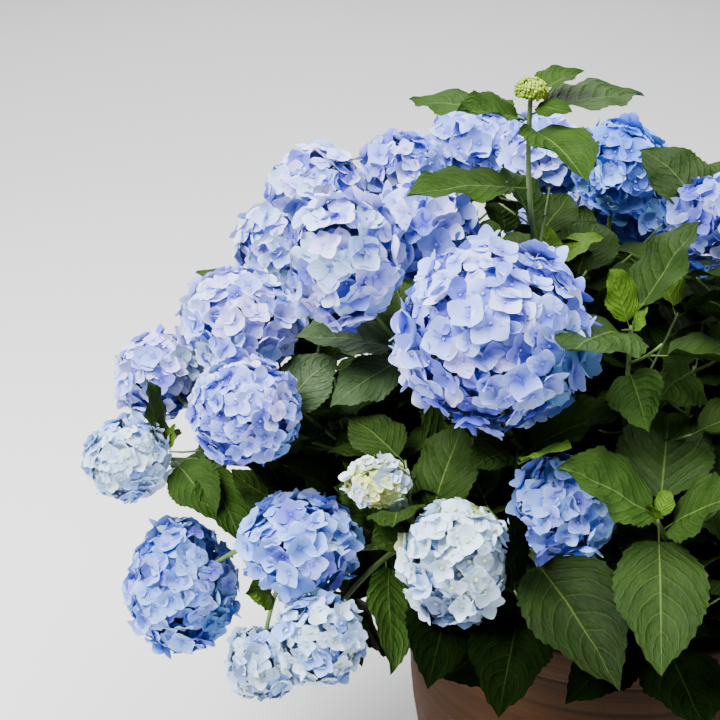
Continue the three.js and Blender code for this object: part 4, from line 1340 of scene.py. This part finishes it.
def furrow(i, path, points, start):
    across, along = bark["furrowsAcross"], bark["furrowsAlong"]
    for k in range(start, len(points)):
        centre = path[(k - start) // bark["sides"]][0]
        out = points[k] - centre
        height = points[k].z * along + bark["apart"] * i
        ridge = noise.noise(Vector((out.x * across, out.y * across, height)))
        points[k] = centre + out * (1 + bark["furrow"] * ridge)


def caneMesh():
    points, faces = [], []
    for i, cane in enumerate(shrub):
        start, path = len(points), canePath(i, cane)
        addTube(points, faces, path, bark["sides"])
        furrow(i, path, points, start)
    return meshOf("canes", points, faces)


def barkFinish():
    finish = Finish("cane bark", Specular_IOR_Level=0.25)
    place = finish.place()
    strips = finish.noise(finish.stretch(place, (420, 420, 26)), 1.0, 5.0, 0.65, 0.4)
    flakes = finish.noise(finish.stretch(place, (90, 90, 34)), 1.0, 3.0, 0.6)
    tint = finish.mix(strips.ramp(0.36, 0.64), (0.085, 0.055, 0.035), (0.31, 0.23, 0.155))
    tint = finish.mix(flakes.ramp(0.55, 0.68) * 0.6, tint, (0.42, 0.34, 0.25))
    return finish.dress(Base_Color=tint, Roughness=strips.ramp(0.3, 0.7, 0.92, 0.72),
                        Normal=finish.bump(strips + flakes * 0.5, 0.8, 1.6 * mm))


canePiece = addPiece("canes", caneMesh(), barkFinish())

# green stems and twigs, thicker where leaves join them, and the side shoots
stem = {"overlap": 0.02, "steps": 14, "sides": 8, "twigSteps": 16, "twigSides": 7, "shootSides": 5,
        "joint": 1.12, "jointEvery": 4}


def twigPath(tip):
    steps, every = stem["twigSteps"], stem["jointEvery"]
    path = limbPath(tip["curve"], 0, 1, wood["twigRadius"], wood["tipRadius"], steps)
    thick = [stem["joint"] if k % every == every // 2 else 1 for k in range(steps + 1)]
    return [(at, radius * share) for (at, radius), share in zip(path, thick)]


def stemMesh():
    points, faces = [], []
    for cane in shrub:
        start = wood["massStart"] - stem["overlap"]
        path = limbPath(cane["curve"], start, 1, wood["stemRadius"], wood["twigRadius"], stem["steps"])
        addTube(points, faces, path, stem["sides"])
        for tip in cane["tips"]:
            addTube(points, faces, twigPath(tip), stem["twigSides"])
    for path in greenLimbs:
        addTube(points, faces, path, stem["shootSides"])
    return meshOf("stems", points, faces)


def stemFinish():
    finish = Finish("green stems", Roughness=0.48)
    place = finish.place()
    cloud = finish.noise(place, 14.0, 3.0, 0.6)
    specks = finish.noise(finish.stretch(place, (700, 700, 180)), 1.0, 2.0)
    tint = finish.mix(cloud.ramp(0.35, 0.65), (0.060, 0.110, 0.022), (0.150, 0.240, 0.060))
    tint = finish.mix(specks.ramp(0.62, 0.74) * 0.5, tint, (0.12, 0.05, 0.03))
    return finish.dress(Base_Color=tint, Normal=finish.bump(specks, 0.3, 0.5 * mm))


stemPiece = addPiece("stems", stemMesh(), stemFinish())
print("limbs grown")

# the pot: thrown rings, a rolled rim with a groove below it
thrown = {"sides": 128, "steps": 90, "ring": 9 * mm, "depth": 0.5 * mm, "fade": 31, "footCut": 8 * mm,
          "underRound": 4 * mm, "swell": 1.1 * mm, "swellHeight": 28 * mm, "swellSteps": 12,
          "lip": 6 * mm, "lipSteps": 8, "insideHeights": (350 * mm, 250 * mm, 150 * mm, 60 * mm)}
underRim = pot["height"] - pot["rimHeight"]


def wallProfile():
    # the underside and the outside up to the rim
    cut, low = thrown["footCut"], thrown["underRound"]
    outside = [(0, 0.0), (pot["footRadius"] - cut, 0.0), (pot["footRadius"] - 2 * mm, 1.5 * mm)]
    for k in range(1, thrown["steps"] + 1):
        height = low + (underRim - 2 * low) * k / thrown["steps"]
        ring = thrown["depth"] * sin(2 * pi * height / thrown["ring"]) * sin(height * thrown["fade"] + 1)
        outside.append((bodyRadius(height) + ring, height))
    return outside


def rimProfile():
    # the step under the rim, its swelling side and its rounded lip
    rim, step, low = pot["rimRadius"], pot["rimStep"], thrown["underRound"]
    found = [(rim - step - 1 * mm, underRim - 1 * mm), (rim - step + 1 * mm, underRim + 1 * mm),
             (rim - 3 * mm, underRim + 1.5 * mm), (rim - 0.8 * mm, underRim + low)]
    for k in range(1, thrown["swellSteps"]):
        share = k / thrown["swellSteps"]
        swell = thrown["swell"] * sin(pi * share)
        found.append((rim - 0.3 * mm + swell, underRim + low + share * thrown["swellHeight"]))
    lip, top, inner = thrown["lip"], pot["height"], bodyRadius(underRim) - pot["wall"]
    turns = [pi / 2 * k / thrown["lipSteps"] for k in range(thrown["lipSteps"] + 1)]
    found += [(rim - lip + lip * cos(turn), top - lip + lip * sin(turn)) for turn in turns]
    found += [(inner + lip - lip * sin(turn), top - lip + lip * cos(turn)) for turn in turns]
    return found


def potProfile():
    heights = (*thrown["insideHeights"], pot["floor"])
    inside = [(bodyRadius(height) - pot["wall"], height) for height in heights]
    return wallProfile() + rimProfile() + inside + [(0, pot["floor"])]


def potFinish():
    finish = Finish("stoneware", Specular_IOR_Level=0.07)
    place = finish.place()
    x, y, z = finish.parts(place)
    bands = finish.noise(finish.stretch(place, (0.5, 0.5, 95)), 1.0, 4.0, 0.6)
    broad = finish.noise(finish.stretch(place, (0.8, 0.8, 26)), 1.0, 2.0, 0.5)
    cloud = finish.noise(place, 9.0, 6.0, 0.68)
    grit = finish.noise(place, 300.0, 2.0)
    tint = finish.mix(bands.ramp(0.34, 0.66), (0.014, 0.0055, 0.002), (0.050, 0.020, 0.006))
    tint = finish.mix(broad.ramp(0.54, 0.68) * 0.7, tint, (0.098, 0.032, 0.007))
    tint = finish.mix(cloud.ramp(0.52, 0.72) * 0.45, tint, (0.072, 0.036, 0.016))
    tint = finish.mix(cloud.ramp(0.30, 0.44, 1.0, 0.0) * 0.6, tint, (0.026, 0.014, 0.008))
    # painted shade: a dark line along the groove under the rim
    groove = abs(z - (underRim - 1 * mm)).ramp(0.0, 6 * mm, 1.0, 0.0)
    tint = finish.mix(groove * 0.8, tint, (0.018, 0.010, 0.006))
    tint = finish.mix(grit.ramp(0.60, 0.72) * 0.5, tint, (0.022, 0.014, 0.010))
    # painted light and shade: the left and front of the pot are mixed towards a lighter brown as if lit from
    # the left, and the rest stays darkened as painted shade
    sideLight = (x * -1.0 - y * 0.25 + (cloud - 0.5) * 0.16).ramp(0.07, 0.20)
    paintedShadeTint = finish.mix(0.42, tint, (0.010, 0.005, 0.002))
    paintedLightTint = finish.mix(0.5, tint, (0.115, 0.052, 0.020))
    return finish.dress(Base_Color=finish.mix(sideLight * 0.5, paintedShadeTint, paintedLightTint),
                        Roughness=cloud.ramp(0.3, 0.7, 0.48, 0.76),
                        Normal=finish.bump(bands * 0.7 + grit * 0.25 + cloud * 0.4, 0.5, 2.2 * mm))


potPiece = addPiece("stoneware_pot", revolve("stoneware_pot", potProfile(), thrown["sides"]), potFinish())

# potting soil with crumbs on top
soil = {"sides": 64, "rings": 16, "gap": 1 * mm, "edgeDrop": 3 * mm, "wallHeights": (30 * mm, 200 * mm),
        "lump": 4 * mm, "lumps": 30, "sunk": 0.2, "crumbs": 420, "crumb": 2 * mm, "crumbSpread": 4 * mm,
        "crumbTurn": 137.5, "crumbLift": 0.5 * mm, "crumbInset": 6 * mm, "flat": 0.7, "tilt": 0.5,
        "seed": 77, "growSeed": 500}


def inPot(height):
    return bodyRadius(height) - pot["wall"] - soil["gap"]


def soilMesh():
    inner, top, bottom = inPot(underRim), soilTop - soil["gap"], pot["floor"] + soil["gap"]
    low, high = soil["wallHeights"]
    profile = [(0, bottom), (inPot(low), bottom), (inPot(high), high), (inner, soilTop - soil["edgeDrop"])]
    profile += [(inner * (1 - k / soil["rings"]), top) for k in range(1, soil["rings"] + 1)]
    mesh = revolve("potting_soil", profile, soil["sides"])
    for vertex in mesh.vertices:
        if vertex.co.z > soilTop - 2 * soil["gap"]:
            lump = noise.fractal(vertex.co * soil["lumps"], 1.0, 2.0, 3)
            vertex.co.z += soil["lump"] * (lump - soil["sunk"])
    return mesh


def crumbRows():
    draw = seeded(soil["seed"])
    rows, widest = [], inPot(underRim) - soil["crumbInset"]
    for i in range(soil["crumbs"]):
        reach = widest * sqrt((i + 0.5) / soil["crumbs"])
        size = soil["crumb"] + soil["crumbSpread"] * draw() ** 2
        rows.append({"at": placeOf(soil["crumbTurn"] * i, reach, soilTop + soil["crumbLift"]),
                     "way": Vector((spread(draw, 1), spread(draw, 1), 1)).normalized(),
                     "size": (size * (1 + draw()), size, size * soil["flat"])})
    return rows


def soilFinish():
    finish = Finish("potting soil", Roughness=0.95, Specular_IOR_Level=0.15)
    place = finish.place()
    lumps = finish.noise(place, 55.0, 6.0, 0.7)
    fibres = finish.noise(finish.stretch(place, (300, 60, 100)), 1.0, 3.0)
    tint = finish.mix(lumps.ramp(0.35, 0.65), (0.016, 0.010, 0.007), (0.060, 0.038, 0.024))
    tint = finish.mix(fibres.ramp(0.62, 0.72) * 0.6, tint, (0.14, 0.09, 0.055))
    return finish.dress(Base_Color=tint, Normal=finish.bump(lumps + fibres * 0.4, 0.9, 4 * mm))


soilPiece = addPiece("potting_soil", soilMesh(), soilFinish())
crumbTones = ((0.03, 0.02, 0.013), (0.13, 0.085, 0.055))
crumbs = settle("soil_crumbs", crumbRows(), growFlorets, Shapes=beadStock, Tilt=soil["tilt"],
                Finish=plainFinish("soil crumbs", *crumbTones, 60.0, 0.9), Seed=soil["growSeed"])
print("pot and soil made")

# which solids the pieces stand for
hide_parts("pot")
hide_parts("soil")
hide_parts(*[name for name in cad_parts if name.endswith("_cane")])
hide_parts(*[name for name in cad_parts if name.endswith("_foliage")])
slots = {"pot": [potPiece], "soil": [soilPiece, crumbs], "cane": [canePiece],
         "foliage": [stemPiece, *leafPieces], "blossom": bloomPieces}
for slot, pieces in slots.items():
    for piece in pieces:
        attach(piece, "root")

# pale floor and soft light from the left
floorReach = 20
floorCorners = [(x * floorReach, y * floorReach, 0) for x, y in ((-1, -1), (1, -1), (1, 1), (-1, 1))]
ground = Finish("pale floor", Roughness=0.85)
clouds = ground.noise(ground.place(), 0.6).ramp(0.3, 0.7)
ground.dress(Base_Color=ground.mix(clouds, (0.88, 0.87, 0.86), (0.91, 0.90, 0.89)))
addPiece("floor", meshOf("floor", floorCorners, [(0, 1, 2, 3)], False), ground.material)

# each lamp's place, what it points at, its size, power and colour
lamps = {"key": ((-1.75, -0.7, 2.9), (0, 0, 0.55), 1.9, 275, (0.97, 0.98, 0.98)),
         "sky": ((0.7, -0.3, 3.2), (0, 0, 0.55), 2.4, 125, (0.92, 0.96, 1.0)),
         "fill": ((1.6, -2.4, 1.6), (0, 0, 0.55), 2.0, 9, (0.95, 0.97, 1.0)),
         "rear": ((-0.6, 4.2, 3.4), (-0.4, 3.0, 0), 4.0, 150, (1.0, 1.0, 1.0))}
studio = {"colour": (0.80, 0.86, 0.94, 1), "strength": 0.20}
for name, (place, target, size, power, colour) in lamps.items():
    light = bpy.data.lights.new(name, "AREA")
    light.shape, light.size, light.energy, light.color = "DISK", size, power, colour
    holder = bpy.data.objects.new(name, light)
    holder.location = place
    holder.rotation_euler = (Vector(target) - Vector(place)).to_track_quat("-Z", "Y").to_euler()
    bpy.context.scene.collection.objects.link(holder)
world = bpy.data.worlds.new("studio")
world.use_nodes = True
world.node_tree.nodes["Background"].inputs["Color"].default_value = studio["colour"]
world.node_tree.nodes["Background"].inputs["Strength"].default_value = studio["strength"]
bpy.context.scene.world = world
print("floor and lamps set")
